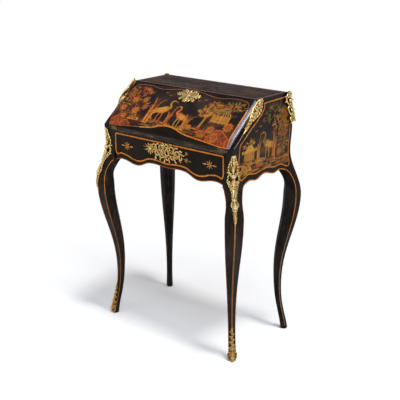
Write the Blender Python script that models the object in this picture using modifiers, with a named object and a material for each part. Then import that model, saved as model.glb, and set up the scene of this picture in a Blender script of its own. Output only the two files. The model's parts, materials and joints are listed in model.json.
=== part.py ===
"""Slant-front writing desk on four cabriole legs. Metres, +Z up, front towards -Y, floor at z = 0."""

import math

import bmesh
import bpy
from mathutils import Matrix, Vector

# Overall sizes
HEIGHT = 0.900
CASE_RISE = 0.140  # top of the desk above the writing board
LEG_HALF_WIDTH = 0.2954  # centre to the outer edge of a leg at the floor, sideways
LEG_HALF_DEPTH = 0.1616  # the same, front to back
TOP_SIDE_INSET = 0.0144  # top board inside the outer edges of the legs at the floor
TOP_BACK_INSET = 0.0096

# Clearances
GAP = 0.0003  # between pieces that touch
SLIDE_GAP = 0.0006  # at the sides of a drawer
MOUNT_GAP = 0.0005  # between a bronze mount and the wood

# Leg: outward sweep of its edge along x and y, and the width of its outer faces
FOOT_OUT = 0.006
ANKLE_HEIGHT = 0.180
ANKLE_IN = 0.0141
KNEE_DROP = 0.230  # below the writing board
KNEE_OUT = 0.0297
WAIST_DROP = 0.060
WAIST_IN = 0.0028
BULGE_RISE = 0.020  # above the writing board
BULGE_OUT = 0.0021
FOOT_FACE = 0.0165
NECK_HEIGHT = 0.070
NECK_FACE = 0.0150
KNEE_FACE = 0.040
ARCH_FACE = 0.034
FACE_LEAN = 0.087  # tangent of the lean that opens the leg's edge past a right angle
INNER_LONG = 1.39  # corners of the leg's inner side, as shares of its face width
INNER_SHORT = 0.78
POST = 0.040  # side of the square post above the arch
POST_CHAMFER = 0.004
ARCH_DROP = 0.128  # where the apron arch meets the post, below the writing board
ARCH_HEIGHT = 0.047
RING_STEP = 0.014  # height of one stretch of a swept surface
ARCH_STEPS = 7

# Carcass boards
SIDE_THICKNESS = 0.0219  # inner face of a side panel inside the outer edges of the legs
TOP_THICKNESS = 0.015
WRITING_BOARD = 0.012
NOSING = 0.010  # how far the writing board stands in front of the posts
RAIL_HEIGHT = 0.009
RAIL_DEPTH = 0.032
TOP_RAIL_HEIGHT = 0.017
TOP_RAIL_DEPTH = 0.022
TOP_RAIL_SETBACK = 0.003
BACK_THICKNESS = 0.010
BACK_SETBACK = 0.0116  # back panel behind the outer edge of the back posts
BACK_DROP = 0.120  # lower edge of the back panel below the writing board
DUST_BOARD = 0.006
DUST_BOARD_DROP = 0.108
RUNNER_WIDTH = 0.018
RUNNER_HEIGHT = 0.010

# Lower edges of apron and side panels, below the writing board
SIDE_DROP_CENTRE = 0.113
SIDE_DROP_LOBE = 0.124
SIDE_DROP_END = 0.119
SIDE_LOBE_Y = 0.052
SIDE_END_Y = 0.086
FRONT_DROP_CENTRE = 0.1135
FRONT_DROP_HUMP = 0.112
FRONT_DROP_LOBE = 0.131
FRONT_DROP_END = 0.120
FRONT_HUMP_X = 0.085
FRONT_LOBE_X = 0.140
FRONT_END_INSET = 0.035  # from the end of the drawer front

# Lid
LID_SLOPE = math.radians(38.5)
LID_SIDE_INSET = 0.0137  # lid inside the outer edges of the legs
LID_THICKNESS = 0.0155
LID_DROP = 0.001  # outer top edge of the lid below the top of the desk
LID_GAP = 0.0008
NOSE_RUN = 0.042  # length of the rolled lower edge
NOSE_EDGE = 0.0032
NOSE_POWER = 1.35
NOSE_STEPS = 8
LEATHER_SIDE_MARGIN = 0.0297
LEATHER_LOW = 0.026
LEATHER_TOP_MARGIN = 0.055
LEATHER_THICKNESS = 0.0012

# Lid hinges
HINGE_INSET = 0.0494  # middle of a hinge inside the outer edge of the leg
HINGE_LENGTH = 0.024
KNUCKLE_LENGTH = 0.0078
KNUCKLE_RADIUS = 0.0025
PIN_RADIUS = 0.0011
PIN_CLEARANCE = 0.0002
KNUCKLE_CLEARANCE = 0.0006
LEAF_THICKNESS = 0.0014
FIXED_LEAF_HEIGHT = 0.0095
LID_LEAF_LENGTH = 0.0165

# Locks
LOCK_HALF_WIDTH = 0.025
LOCK_HEIGHT = 0.036
LOCK_DEPTH = 0.009
BOLT_HALF_WIDTH = 0.007
BOLT_THICKNESS = 0.004
BOLT_LENGTH = 0.018
BOLT_TRAVEL = 0.005
BOLT_INSET = 0.0025  # bolt behind the lock's open face
BOLT_CLEARANCE = 0.0004
KEYHOLE_RADIUS = 0.0025
KEYHOLE_SHARE = 0.72  # keyhole below the bolt's edge, as a share of the lock's height
KEYHOLE_STEPS = 10

# Frieze drawer
DRAWER_FRONT_THICKNESS = 0.018
DRAWER_FRONT_PROUD = 0.0004  # drawer front in front of the posts
DRAWER_WALL = 0.008
DRAWER_BOTTOM = 0.005
DRAWER_HEADROOM = 0.0085  # drawer sides below the drawer front's top
DRAWER_BACK_ROOM = 0.003  # between the drawer and the back posts

# Small drawers and pigeonholes inside the desk
ROW_HEIGHT = 0.045
ROW_DEPTH = 0.0816  # fronts of the small drawers before the back posts
SMALL_FRONT = 0.008
SMALL_WALL = 0.005
SMALL_BOTTOM = 0.004
SMALL_HEADROOM = 0.005
DIVIDER = 0.006
SHELF = 0.006
PIGEONHOLE_SETBACK = 0.015
PIGEONHOLE_SCOOP = 0.022
KNOB_RADIUS = 0.006
KNOB_LENGTH = 0.013
KNOB_NECK = 0.0026
STEM_RADIUS = 0.0019
STEM_LENGTH = 0.006

# Bronze mounts
MOUNT_THICKNESS = 0.0045
KNEE_CHUTE_LENGTH = 0.228
KNEE_CHUTE_WIDTH = 0.027
SLANT_CHUTE_OVER = 0.0006  # its tip past the lid's upper edge
SLANT_CHUTE_LENGTH = 0.116
SLANT_CHUTE_BEND = 0.046  # length over which it rises to the corner
SLANT_CHUTE_WIDTH = 0.016
SLANT_CHUTE_RISE = 0.016
BACK_CHUTE_LENGTH = 0.110
BACK_CHUTE_WIDTH = 0.016
SABOT_HEIGHT = 0.122
SABOT_LIFT = 0.0015
SABOT_THICKNESS = 0.008
PLATE_THICKNESS = 0.004
DRAWER_PLATE_HALF_LENGTH = 0.112
DRAWER_PLATE_HALF_HEIGHT = 0.0325
LID_PLATE_HALF_LENGTH = 0.056
LID_PLATE_HALF_HEIGHT = 0.0285
PLATE_EDGE_GAP = 0.001  # keyhole plates inside the edge that they lie nearest
PLATE_LOBES = 13
PLATE_LOBE_DEPTH = 0.10
PLATE_STEPS = 78
OVAL_STEPS = 12

# Places worked out from the sizes above
WRITING_HEIGHT = HEIGHT - CASE_RISE
TOP_HALF_WIDTH = LEG_HALF_WIDTH - TOP_SIDE_INSET
TOP_HALF_DEPTH = LEG_HALF_DEPTH - TOP_BACK_INSET
KNEE_HEIGHT = WRITING_HEIGHT - KNEE_DROP
WAIST_HEIGHT = WRITING_HEIGHT - WAIST_DROP
BULGE_HEIGHT = WRITING_HEIGHT + BULGE_RISE
ARCH_TOP = WRITING_HEIGHT - ARCH_DROP
BACK_LOW = WRITING_HEIGHT - BACK_DROP
DUST_BOARD_LOW = WRITING_HEIGHT - DUST_BOARD_DROP
SIDE_INNER_X = LEG_HALF_WIDTH - SIDE_THICKNESS
LID_HALF_WIDTH = LEG_HALF_WIDTH - LID_SIDE_INSET
LEATHER_HALF_WIDTH = LID_HALF_WIDTH - LEATHER_SIDE_MARGIN
HINGE_X = LEG_HALF_WIDTH - HINGE_INSET
DIVIDER_X = SIDE_INNER_X / 3
PIGEONHOLE_DIVIDER_X = SIDE_INNER_X / 2
SIDE_SWEEP = (
    (0, FOOT_OUT, 1),
    (ANKLE_HEIGHT, -ANKLE_IN, 0.7),
    (KNEE_HEIGHT, KNEE_OUT, 1.15),
    (WAIST_HEIGHT, -WAIST_IN, 1),
    (BULGE_HEIGHT, BULGE_OUT, 1),
    (HEIGHT, TOP_HALF_WIDTH - LEG_HALF_WIDTH, 1),
)
DEPTH_SWEEP = (
    (0, FOOT_OUT, 1),
    (ANKLE_HEIGHT, -ANKLE_IN, 0.7),
    (KNEE_HEIGHT, KNEE_OUT, 1.15),
    (WAIST_HEIGHT, 0, 1),
    (BULGE_HEIGHT, 0, 1),
    (HEIGHT, TOP_HALF_DEPTH - LEG_HALF_DEPTH, 1),
)
LEG_FACE = (
    (0, FOOT_FACE, 1),
    (NECK_HEIGHT, NECK_FACE, 1),
    (KNEE_HEIGHT, KNEE_FACE, 1.15),
    (ARCH_TOP - ARCH_HEIGHT, ARCH_FACE, 1),
)
POST_INNER_X = LEG_HALF_WIDTH - POST
POST_INNER_Y = LEG_HALF_DEPTH - POST
TOP_LOW = HEIGHT - TOP_THICKNESS
WRITING_LOW = WRITING_HEIGHT - WRITING_BOARD
RAIL_TOP = WRITING_LOW - GAP
RAIL_LOW = RAIL_TOP - RAIL_HEIGHT
NOSE_Y = -(LEG_HALF_DEPTH + NOSING)
HINGE = Vector((0, NOSE_Y, WRITING_HEIGHT))
UP_SLOPE = Vector((0, math.cos(LID_SLOPE), math.sin(LID_SLOPE)))
OFF_SLOPE = Vector((0, -math.sin(LID_SLOPE), math.cos(LID_SLOPE)))
LID_FRAME = Matrix.Translation(HINGE) @ Matrix.Rotation(LID_SLOPE, 4, "X")
LID_FACE = GAP + LID_THICKNESS
LID_LENGTH = (HEIGHT - LID_DROP - WRITING_HEIGHT - LID_FACE * OFF_SLOPE.z) / UP_SLOPE.z
LEATHER_HIGH = LID_LENGTH - LEATHER_TOP_MARGIN
BACK_Y = LEG_HALF_DEPTH - BACK_SETBACK - BACK_THICKNESS
DUST_BOARD_TOP = DUST_BOARD_LOW + DUST_BOARD
RUNNER_LOW = DUST_BOARD_TOP + GAP
RUNNER_TOP = RUNNER_LOW + RUNNER_HEIGHT
DRAWER_TOP = RAIL_LOW - SLIDE_GAP
DRAWER_FACE_Y = -(LEG_HALF_DEPTH + DRAWER_FRONT_PROUD)
DRAWER_FRONT_BACK_Y = DRAWER_FACE_Y + DRAWER_FRONT_THICKNESS
DRAWER_HALF_WIDTH = POST_INNER_X - SLIDE_GAP
DRAWER_LOW = RUNNER_TOP + GAP
DRAWER_SIDE_TOP = DRAWER_TOP - DRAWER_HEADROOM
DRAWER_BACK_Y = POST_INNER_Y - DRAWER_BACK_ROOM
ROW_FRONT_Y = POST_INNER_Y - ROW_DEPTH
ROW_LOW = WRITING_HEIGHT + GAP
SHELF_LOW = ROW_LOW + ROW_HEIGHT + GAP
SHELF_TOP = SHELF_LOW + SHELF

# Frames for flat outlines: the first two columns are the outline's axes, the third its thickness
FACING_FRONT = Matrix(((1, 0, 0, 0), (0, 0, -1, 0), (0, 1, 0, 0), (0, 0, 0, 1)))
FACING_SIDE = Matrix(((0, 0, 1, 0), (1, 0, 0, 0), (0, 1, 0, 0), (0, 0, 0, 1)))

for old in list(bpy.data.objects):
    bpy.data.objects.remove(old, do_unlink=True)

DESK = bpy.data.collections.new("slant_front_desk")
CUTTERS = bpy.data.collections.new("cutters")
bpy.context.scene.collection.children.link(DESK)
bpy.context.scene.collection.children.link(CUTTERS)


def finish(name, colour, roughness, metallic=0.0):
    material = bpy.data.materials.new(name)
    material.use_nodes = True
    shader = material.node_tree.nodes["Principled BSDF"]
    shader.inputs["Base Color"].default_value = (*colour, 1)
    shader.inputs["Roughness"].default_value = roughness
    shader.inputs["Metallic"].default_value = metallic
    return material


LACQUER = finish("black_lacquer", (0.012, 0.010, 0.009), 0.18)
GILT = finish("gilt_bronze", (0.78, 0.55, 0.22), 0.32, 1.0)
BRASS = finish("brass", (0.75, 0.58, 0.30), 0.35, 1.0)
STEEL = finish("steel", (0.45, 0.44, 0.42), 0.40, 1.0)
OAK = finish("oak", (0.33, 0.20, 0.10), 0.55)
ROSEWOOD = finish("rosewood", (0.17, 0.07, 0.035), 0.40)
LEATHER = finish("leather", (0.16, 0.035, 0.02), 0.50)


def body(name, place, parent=None):
    """An empty on a joint's axis, which carries the pieces that move together."""
    empty = bpy.data.objects.new(name, None)
    DESK.objects.link(empty)
    empty.location = place
    if parent:
        empty.parent = parent
        empty.matrix_parent_inverse = parent.matrix_world.inverted()
    bpy.context.view_layer.update()
    return empty


def add(name, mesh, matrix, material=None, carrier=None):
    """A piece of the desk or, without a material, a cutter."""
    obj = bpy.data.objects.new(name, mesh)
    if material:
        DESK.objects.link(obj)
        mesh.materials.append(material)
        obj.parent = carrier
        obj.matrix_parent_inverse = carrier.matrix_world.inverted()
    else:
        CUTTERS.objects.link(obj)
        obj.hide_render = True
        obj.display_type = "WIRE"
    obj.matrix_basis = matrix
    return obj


def mesh_of(shape, name):
    mesh = bpy.data.meshes.new(name)
    bmesh.ops.recalc_face_normals(shape, faces=shape.faces)
    shape.to_mesh(mesh)
    shape.free()
    return mesh


def smooth(obj, angle=40):
    obj.data.shade_smooth()
    obj.data.set_sharp_from_angle(angle=math.radians(angle))
    return obj


def box(name, low, high, material=None, carrier=None, frame=None):
    """A board between two opposite corners, given in its frame."""
    low, high = Vector(low), Vector(high)
    shape = bmesh.new()
    bmesh.ops.create_cube(shape, size=1)
    bmesh.ops.scale(shape, vec=high - low, verts=shape.verts)
    matrix = (frame or Matrix()) @ Matrix.Translation((low + high) / 2)
    return add(name, mesh_of(shape, name), matrix, material, carrier)


def rod(name, start, end, radius, material=None, carrier=None, segments=16):
    start, end = Vector(start), Vector(end)
    shape = bmesh.new()
    bmesh.ops.create_cone(
        shape, cap_ends=True, segments=segments, radius1=radius, radius2=radius, depth=(end - start).length
    )
    turn = (end - start).to_track_quat("Z", "Y").to_matrix().to_4x4()
    matrix = Matrix.Translation((start + end) / 2) @ turn
    return smooth(add(name, mesh_of(shape, name), matrix, material, carrier))


def plate(name, knots, thickness, frame, material=None, carrier=None):
    """A flat outline with a thickness. A knot is two coordinates, and True where the edge is smooth."""
    curve = bpy.data.curves.new(name, "CURVE")
    curve.dimensions = "2D"
    curve.fill_mode = "BOTH"
    curve.extrude = thickness / 2
    curve.resolution_u = 5
    spline = curve.splines.new("BEZIER")
    spline.bezier_points.add(len(knots) - 1)
    spline.use_cyclic_u = True
    for point, (across, along_edge, is_smooth) in zip(spline.bezier_points, knots):
        point.co = (across, along_edge, 0)
        point.handle_left_type = "AUTO" if is_smooth else "VECTOR"
        point.handle_right_type = point.handle_left_type
    guide = bpy.data.objects.new(name + "_outline", curve)
    CUTTERS.objects.link(guide)
    bpy.context.view_layer.update()
    evaluated = guide.evaluated_get(bpy.context.evaluated_depsgraph_get())
    flat = bpy.data.meshes.new_from_object(evaluated)
    shape = bmesh.new()
    shape.from_mesh(flat)
    bmesh.ops.remove_doubles(shape, verts=shape.verts, dist=1e-6)
    bmesh.ops.dissolve_limit(shape, angle_limit=math.radians(0.5), verts=shape.verts, edges=shape.edges)
    bpy.data.objects.remove(guide, do_unlink=True)
    bpy.data.meshes.remove(flat)
    return add(name, mesh_of(shape, name), frame, material, carrier)


def loft(name, rings, material=None, carrier=None):
    """A solid through closed rings of equally many points, with its ends capped."""
    place = Vector(rings[0][0])
    shape = bmesh.new()
    loops = [[shape.verts.new(Vector(point) - place) for point in ring] for ring in rings]
    for lower, upper in zip(loops, loops[1:]):
        for i in range(len(lower)):
            j = (i + 1) % len(lower)
            shape.faces.new((lower[i], lower[j], upper[j], upper[i]))
    shape.faces.new(loops[0])
    shape.faces.new(loops[-1])
    return smooth(add(name, mesh_of(shape, name), Matrix.Translation(place), material, carrier))


def combine(obj, other, operation="DIFFERENCE"):
    cut = obj.modifiers.new(other.name, "BOOLEAN")
    cut.operation = operation
    cut.solver = "EXACT"
    cut.object = other
    return obj


def round_edges(obj, width, angle=35):
    bevel = obj.modifiers.new("rounded_edges", "BEVEL")
    bevel.width = width
    bevel.segments = 1
    bevel.limit_method = "ANGLE"
    bevel.angle_limit = math.radians(angle)
    return obj


def spread(start, end, step):
    """Evenly spaced values from start to end, about a step apart."""
    count = max(1, math.ceil((end - start) / step - 1e-6))
    return [start + (end - start) * i / count for i in range(count + 1)]


def along(keys, at):
    """The value at a height, on a smooth run through (height, value, ease power) keys."""
    low = keys[0]
    for high in keys[1:]:
        if at <= high[0]:
            share = max((at - low[0]) / (high[0] - low[0]), 0)
            eased = 0.5 - 0.5 * math.cos(math.pi * share ** high[2])
            return low[1] + (high[1] - low[1]) * eased
        low = high
    return keys[-1][1]


def corner(z):
    """Outer corner of leg and body at a height, in the quarter where x and y are positive."""
    return LEG_HALF_WIDTH + along(SIDE_SWEEP, z), LEG_HALF_DEPTH + along(DEPTH_SWEEP, z)


def arch_flare(z):
    """How far the leg has widened into the post: 0 under the arch and 1 above it."""
    share = (z - ARCH_TOP + ARCH_HEIGHT) / ARCH_HEIGHT
    share = min(max(share, 0), 1)
    return 1 - math.sqrt(1 - share * share)


def leg_ring(z, side, back):
    """Five corners of the leg: its outer edge, then round its inner side."""
    x, y = corner(z)
    face = along(LEG_FACE, z)
    lean = -FACE_LEAN * face
    post_x, post_y = x - POST_INNER_X, y - POST_INNER_Y
    long_side, short_side = INNER_LONG * face, INNER_SHORT * face
    leg = ((0, 0), (face, lean), (long_side, short_side), (short_side, long_side), (lean, face))
    cut_x, cut_y = post_x - POST_CHAMFER, post_y - POST_CHAMFER
    post = ((0, 0), (post_x, 0), (post_x, cut_y), (cut_x, post_y), (0, post_y))
    flare = arch_flare(z)
    ring = []
    for (leg_x, leg_y), (wide_x, wide_y) in zip(leg, post):
        inward_x = leg_x + (wide_x - leg_x) * flare
        inward_y = leg_y + (wide_y - leg_y) * flare
        ring.append(Vector((side * (x - inward_x), back * (y - inward_y), z)))
    return ring


def leg_heights(top):
    under_arch = ARCH_TOP - ARCH_HEIGHT
    heights = spread(0, under_arch, RING_STEP)
    for i in range(1, ARCH_STEPS):
        heights.append(under_arch + ARCH_HEIGHT * math.sin(math.pi / 2 * i / ARCH_STEPS))
    return heights + spread(ARCH_TOP, top, RING_STEP)


def make_legs(frame):
    for side, side_name in ((-1, "left"), (1, "right")):
        for back, end_name, top in ((-1, "front", RAIL_TOP), (1, "back", TOP_LOW - GAP)):
            rings = [leg_ring(z, side, back) for z in leg_heights(top)]
            loft(f"leg_{end_name}_{side_name}", rings, LACQUER, frame)


def slope_y(z):
    """Depth of the sloping plane under the lid at a height."""
    return HINGE.y + (z - HINGE.z) / math.tan(LID_SLOPE)


def side_outline():
    """Side panel seen from the right, as (y, z) knots."""
    end, top, back = -(POST_INNER_Y - GAP), TOP_LOW - GAP, POST_INNER_Y - GAP
    shoulder = [(end, WRITING_LOW, False), (NOSE_Y, WRITING_LOW, False), (NOSE_Y, WRITING_HEIGHT, False)]
    roof = [(slope_y(top), top, False), (back, top, False), (back, ARCH_TOP, False)]
    lobes = (
        (SIDE_END_Y, SIDE_DROP_END),
        (SIDE_LOBE_Y, SIDE_DROP_LOBE),
        (0, SIDE_DROP_CENTRE),
        (-SIDE_LOBE_Y, SIDE_DROP_LOBE),
        (-SIDE_END_Y, SIDE_DROP_END),
    )
    edge = [(y, WRITING_HEIGHT - drop, True) for y, drop in lobes]
    return shoulder + roof + edge + [(end, ARCH_TOP, False)]


def make_side_panels(frame):
    low = WRITING_HEIGHT - max(SIDE_DROP_LOBE, ARCH_DROP) - RING_STEP
    for side, side_name in ((-1, "left"), (1, "right")):
        rings = []
        for z in spread(low, TOP_LOW + RING_STEP, RING_STEP):
            outer = corner(z)[0]
            ends = (NOSE_Y - RING_STEP, POST_INNER_Y + RING_STEP)
            corners = ((SIDE_INNER_X, ends[0]), (outer, ends[0]), (outer, ends[1]), (SIDE_INNER_X, ends[1]))
            rings.append([(side * x, y, z) for x, y in corners])
        panel = loft(f"side_panel_{side_name}", rings, LACQUER, frame)
        centre = Matrix.Translation((side * SIDE_INNER_X, 0, 0)) @ FACING_SIDE
        shape = plate(f"side_outline_{side_name}", side_outline(), 2 * POST, centre)
        combine(panel, shape, "INTERSECT")


def make_top_board(frame):
    front_run = LID_LENGTH + LID_GAP
    rings = []
    for z in spread(TOP_LOW, HEIGHT, TOP_THICKNESS / 3):
        x, y = corner(z)
        off = (z - WRITING_HEIGHT - front_run * UP_SLOPE.z) / OFF_SLOPE.z
        front = HINGE.y + front_run * UP_SLOPE.y + off * OFF_SLOPE.y
        rings.append([(-x, front, z), (x, front, z), (x, y, z), (-x, y, z)])
    board = loft("top_board", rings, LACQUER, frame)
    board.data.shade_flat()
    bolt_face = BOLT_INSET + BOLT_THICKNESS
    strike = box(
        "lid_strike",
        (-BOLT_HALF_WIDTH - BOLT_CLEARANCE, LID_LENGTH, BOLT_INSET - BOLT_CLEARANCE),
        (BOLT_HALF_WIDTH + BOLT_CLEARANCE, front_run + BOLT_TRAVEL, bolt_face + BOLT_CLEARANCE),
        frame=LID_FRAME,
    )
    combine(board, strike)


def notched_board(name, front_y, back_y, low, high, material, frame, front_notch=False):
    """A level board between the side panels, cut out round the back posts and, if asked, the front ones."""
    wide, narrow, post_y = SIDE_INNER_X - GAP, POST_INNER_X - GAP, POST_INNER_Y - GAP
    right = [(wide, post_y), (narrow, post_y), (narrow, back_y)]
    if front_notch:
        right = [(narrow, front_y), (narrow, -post_y), (wide, -post_y)] + right
    else:
        right = [(wide, front_y)] + right
    left = [(-x, y) for x, y in reversed(right)]
    centre = Matrix.Translation((0, 0, (low + high) / 2))
    return plate(name, [(x, y, False) for x, y in right + left], high - low, centre, material, frame)


def make_carcass_boards(frame):
    back_edge = BACK_Y - GAP
    writing_board = notched_board(
        "writing_board", NOSE_Y, back_edge, WRITING_LOW, WRITING_HEIGHT, LACQUER, frame
    )
    notched_board(
        "dust_board", DRAWER_FRONT_BACK_Y + GAP, back_edge, DUST_BOARD_LOW, DUST_BOARD_TOP, OAK, frame, True
    )
    inner = POST_INNER_X - GAP
    rail_front = -LEG_HALF_DEPTH
    rail_back = rail_front + RAIL_DEPTH
    rail = box("front_rail", (-inner, rail_front, RAIL_LOW), (inner, rail_back, RAIL_TOP), LACQUER, frame)
    bolt_y = DRAWER_FRONT_BACK_Y - BOLT_INSET
    strike = box(
        "drawer_strike",
        (-BOLT_HALF_WIDTH - BOLT_CLEARANCE, bolt_y - BOLT_THICKNESS - BOLT_CLEARANCE, RAIL_LOW - GAP),
        (BOLT_HALF_WIDTH + BOLT_CLEARANCE, bolt_y + BOLT_CLEARANCE, RAIL_LOW + BOLT_TRAVEL + BOLT_CLEARANCE),
    )
    combine(rail, strike)
    top = TOP_LOW - GAP
    rail_y = slope_y(top) + TOP_RAIL_SETBACK
    wide = SIDE_INNER_X - GAP
    box("top_rail", (-wide, rail_y, top - TOP_RAIL_HEIGHT), (wide, rail_y + TOP_RAIL_DEPTH, top), OAK, frame)
    box("back_panel", (-inner, BACK_Y, BACK_LOW), (inner, BACK_Y + BACK_THICKNESS, top), OAK, frame)
    for side, side_name in ((-1, "left"), (1, "right")):
        near, far = sorted((side * inner, side * (inner - RUNNER_WIDTH)))
        front_y = DRAWER_FRONT_BACK_Y + GAP
        back_y = POST_INNER_Y - GAP
        box(f"drawer_runner_{side_name}", (near, front_y, RUNNER_LOW), (far, back_y, RUNNER_TOP), OAK, frame)
    return writing_board


def make_pigeonholes(frame):
    back_edge = BACK_Y - GAP
    notched_board("inner_shelf", ROW_FRONT_Y, back_edge, SHELF_LOW, SHELF_TOP, ROSEWOOD, frame)
    for side, side_name in ((-1, "left"), (1, "right")):
        middle = side * DIVIDER_X
        low = (middle - DIVIDER / 2, ROW_FRONT_Y, ROW_LOW)
        high = (middle + DIVIDER / 2, back_edge, SHELF_LOW - GAP)
        box(f"drawer_divider_{side_name}", low, high, ROSEWOOD, frame)
    front = ROW_FRONT_Y + PIGEONHOLE_SETBACK
    low, high = SHELF_TOP + GAP, TOP_LOW - GAP
    knots = [
        (front, low, False),
        (front + PIGEONHOLE_SCOOP, (low + high) / 2, True),
        (front + PIGEONHOLE_SCOOP / 3, high, False),
        (back_edge, high, False),
        (back_edge, low, False),
    ]
    for place, name in ((-1, "left"), (0, "centre"), (1, "right")):
        centre = Matrix.Translation((place * PIGEONHOLE_DIVIDER_X, 0, 0)) @ FACING_SIDE
        plate(f"pigeonhole_divider_{name}", knots, DIVIDER, centre, ROSEWOOD, frame)


def lid_outline():
    """Section of the lid as (up the slope, off the slope) knots, with its rolled lower edge."""
    knots = [(GAP, GAP, False), (LID_LENGTH, GAP, False), (LID_LENGTH, LID_FACE, False)]
    for i in range(NOSE_STEPS + 1):
        share = i / NOSE_STEPS
        run = NOSE_RUN * (1 - share) + GAP * share
        knots.append((run, LID_FACE - (LID_THICKNESS - NOSE_EDGE) * share**NOSE_POWER, False))
    return knots


def make_lid(lid):
    section = LID_FRAME @ FACING_SIDE
    board = plate("lid_board", lid_outline(), 2 * LID_HALF_WIDTH, section, LACQUER, lid)
    round_edges(board, 0.0012, 50)
    bed = LEATHER_THICKNESS + GAP
    recess = box(
        "leather_recess",
        (-LEATHER_HALF_WIDTH - GAP, LEATHER_LOW - GAP, -GAP),
        (LEATHER_HALF_WIDTH + GAP, LEATHER_HIGH + GAP, GAP + bed),
        frame=LID_FRAME,
    )
    combine(board, recess)
    box(
        "lid_leather",
        (-LEATHER_HALF_WIDTH, LEATHER_LOW, GAP),
        (LEATHER_HALF_WIDTH, LEATHER_HIGH, GAP + LEATHER_THICKNESS),
        LEATHER,
        lid,
        LID_FRAME,
    )
    return board


def hinge_rod(name, start, end, radius, material=None, carrier=None):
    """A rod on the lid's axis between two places along x."""
    return rod(name, (start, HINGE.y, HINGE.z), (end, HINGE.y, HINGE.z), radius, material, carrier)


def make_hinges(frame, lid, lid_board, writing_board):
    half = HINGE_LENGTH / 2
    inner = KNUCKLE_LENGTH / 2
    clear = KNUCKLE_RADIUS + KNUCKLE_CLEARANCE
    for side, name in ((-1, "left"), (1, "right")):
        middle = side * HINGE_X
        low, high = middle - half, middle + half
        housing = hinge_rod(f"hinge_housing_{name}", low - GAP, high + GAP, clear)
        fixed_low = WRITING_HEIGHT - KNUCKLE_RADIUS - FIXED_LEAF_HEIGHT
        bed = box(
            f"fixed_leaf_bed_{name}",
            (low - GAP, NOSE_Y - clear, fixed_low - GAP),
            (high + GAP, NOSE_Y + LEAF_THICKNESS + GAP, WRITING_HEIGHT),
        )
        combine(combine(writing_board, housing), bed)
        lid_bed = box(
            f"lid_leaf_bed_{name}",
            (low - GAP, 0, -GAP),
            (high + GAP, LID_LEAF_LENGTH + GAP, LEAF_THICKNESS + 2 * GAP),
            frame=LID_FRAME,
        )
        combine(combine(lid_board, housing), lid_bed)

        bore = hinge_rod(f"hinge_bore_{name}", low - GAP, high + GAP, PIN_RADIUS + PIN_CLEARANCE)
        fixed = box(
            f"hinge_fixed_leaf_{name}",
            (low, NOSE_Y, fixed_low),
            (high, NOSE_Y + LEAF_THICKNESS, WRITING_HEIGHT),
            BRASS,
            frame,
        )
        moving = box(
            f"hinge_lid_leaf_{name}",
            (low, GAP, GAP),
            (high, LID_LEAF_LENGTH, GAP + LEAF_THICKNESS),
            BRASS,
            lid,
            LID_FRAME,
        )
        for place, start, end in (("low", low, middle - inner), ("high", middle + inner, high)):
            combine(fixed, hinge_rod(f"fixed_knuckle_{name}_{place}", start, end, KNUCKLE_RADIUS), "UNION")
            room = hinge_rod(f"fixed_knuckle_room_{name}_{place}", start - GAP, end + GAP, clear)
            combine(moving, room)
        combine(fixed, hinge_rod(f"lid_knuckle_room_{name}", middle - inner, middle + inner, clear))
        start, end = middle - inner + GAP, middle + inner - GAP
        combine(moving, hinge_rod(f"lid_knuckle_{name}", start, end, KNUCKLE_RADIUS), "UNION")
        combine(fixed, bore)
        combine(moving, bore)
        hinge_rod(f"hinge_pin_{name}", low, high, PIN_RADIUS, BRASS, frame)


def keyhole_outline():
    """A round eye with a slot below it."""
    half_slot = KEYHOLE_RADIUS / 2
    knots = []
    for i in range(KEYHOLE_STEPS + 1):
        angle = math.radians(300 * i / KEYHOLE_STEPS - 60)
        knots.append((KEYHOLE_RADIUS * math.cos(angle), KEYHOLE_RADIUS * math.sin(angle), False))
    return knots + [(-half_slot, -3 * KEYHOLE_RADIUS, False), (half_slot, -3 * KEYHOLE_RADIUS, False)]


def make_lock(name, carrier, bolt_carrier, host, lock_frame):
    """A lock let into its host. In its frame y is the bolt's way out and z the depth behind the open face."""
    bed = box(
        f"{name}_lock_bed",
        (-LOCK_HALF_WIDTH - GAP, -LOCK_HEIGHT - GAP, -LOCK_DEPTH),
        (LOCK_HALF_WIDTH + GAP, GAP + LOCK_DEPTH, LOCK_DEPTH + GAP),
        frame=lock_frame,
    )
    combine(host, bed)
    case_low = (-LOCK_HALF_WIDTH, -LOCK_HEIGHT, 0)
    case_high = (LOCK_HALF_WIDTH, 0, LOCK_DEPTH)
    case = box(f"{name}_lock_case", case_low, case_high, BRASS, carrier, lock_frame)
    low, high = BOLT_INSET, BOLT_INSET + BOLT_THICKNESS
    slide = box(
        f"{name}_bolt_slide",
        (-BOLT_HALF_WIDTH - GAP, -BOLT_LENGTH - GAP, low - GAP),
        (BOLT_HALF_WIDTH + GAP, GAP, high + GAP),
        frame=lock_frame,
    )
    keyhole_place = lock_frame @ Matrix.Translation((0, -LOCK_HEIGHT * KEYHOLE_SHARE, 2.25 * LOCK_DEPTH))
    keyhole = plate(f"{name}_keyhole", keyhole_outline(), 3.5 * LOCK_DEPTH, keyhole_place)
    combine(case, slide)
    bolt_low, bolt_high = (-BOLT_HALF_WIDTH, -BOLT_LENGTH, low), (BOLT_HALF_WIDTH, 0, high)
    box(f"{name}_lock_bolt", bolt_low, bolt_high, STEEL, bolt_carrier, lock_frame)
    return keyhole


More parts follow.
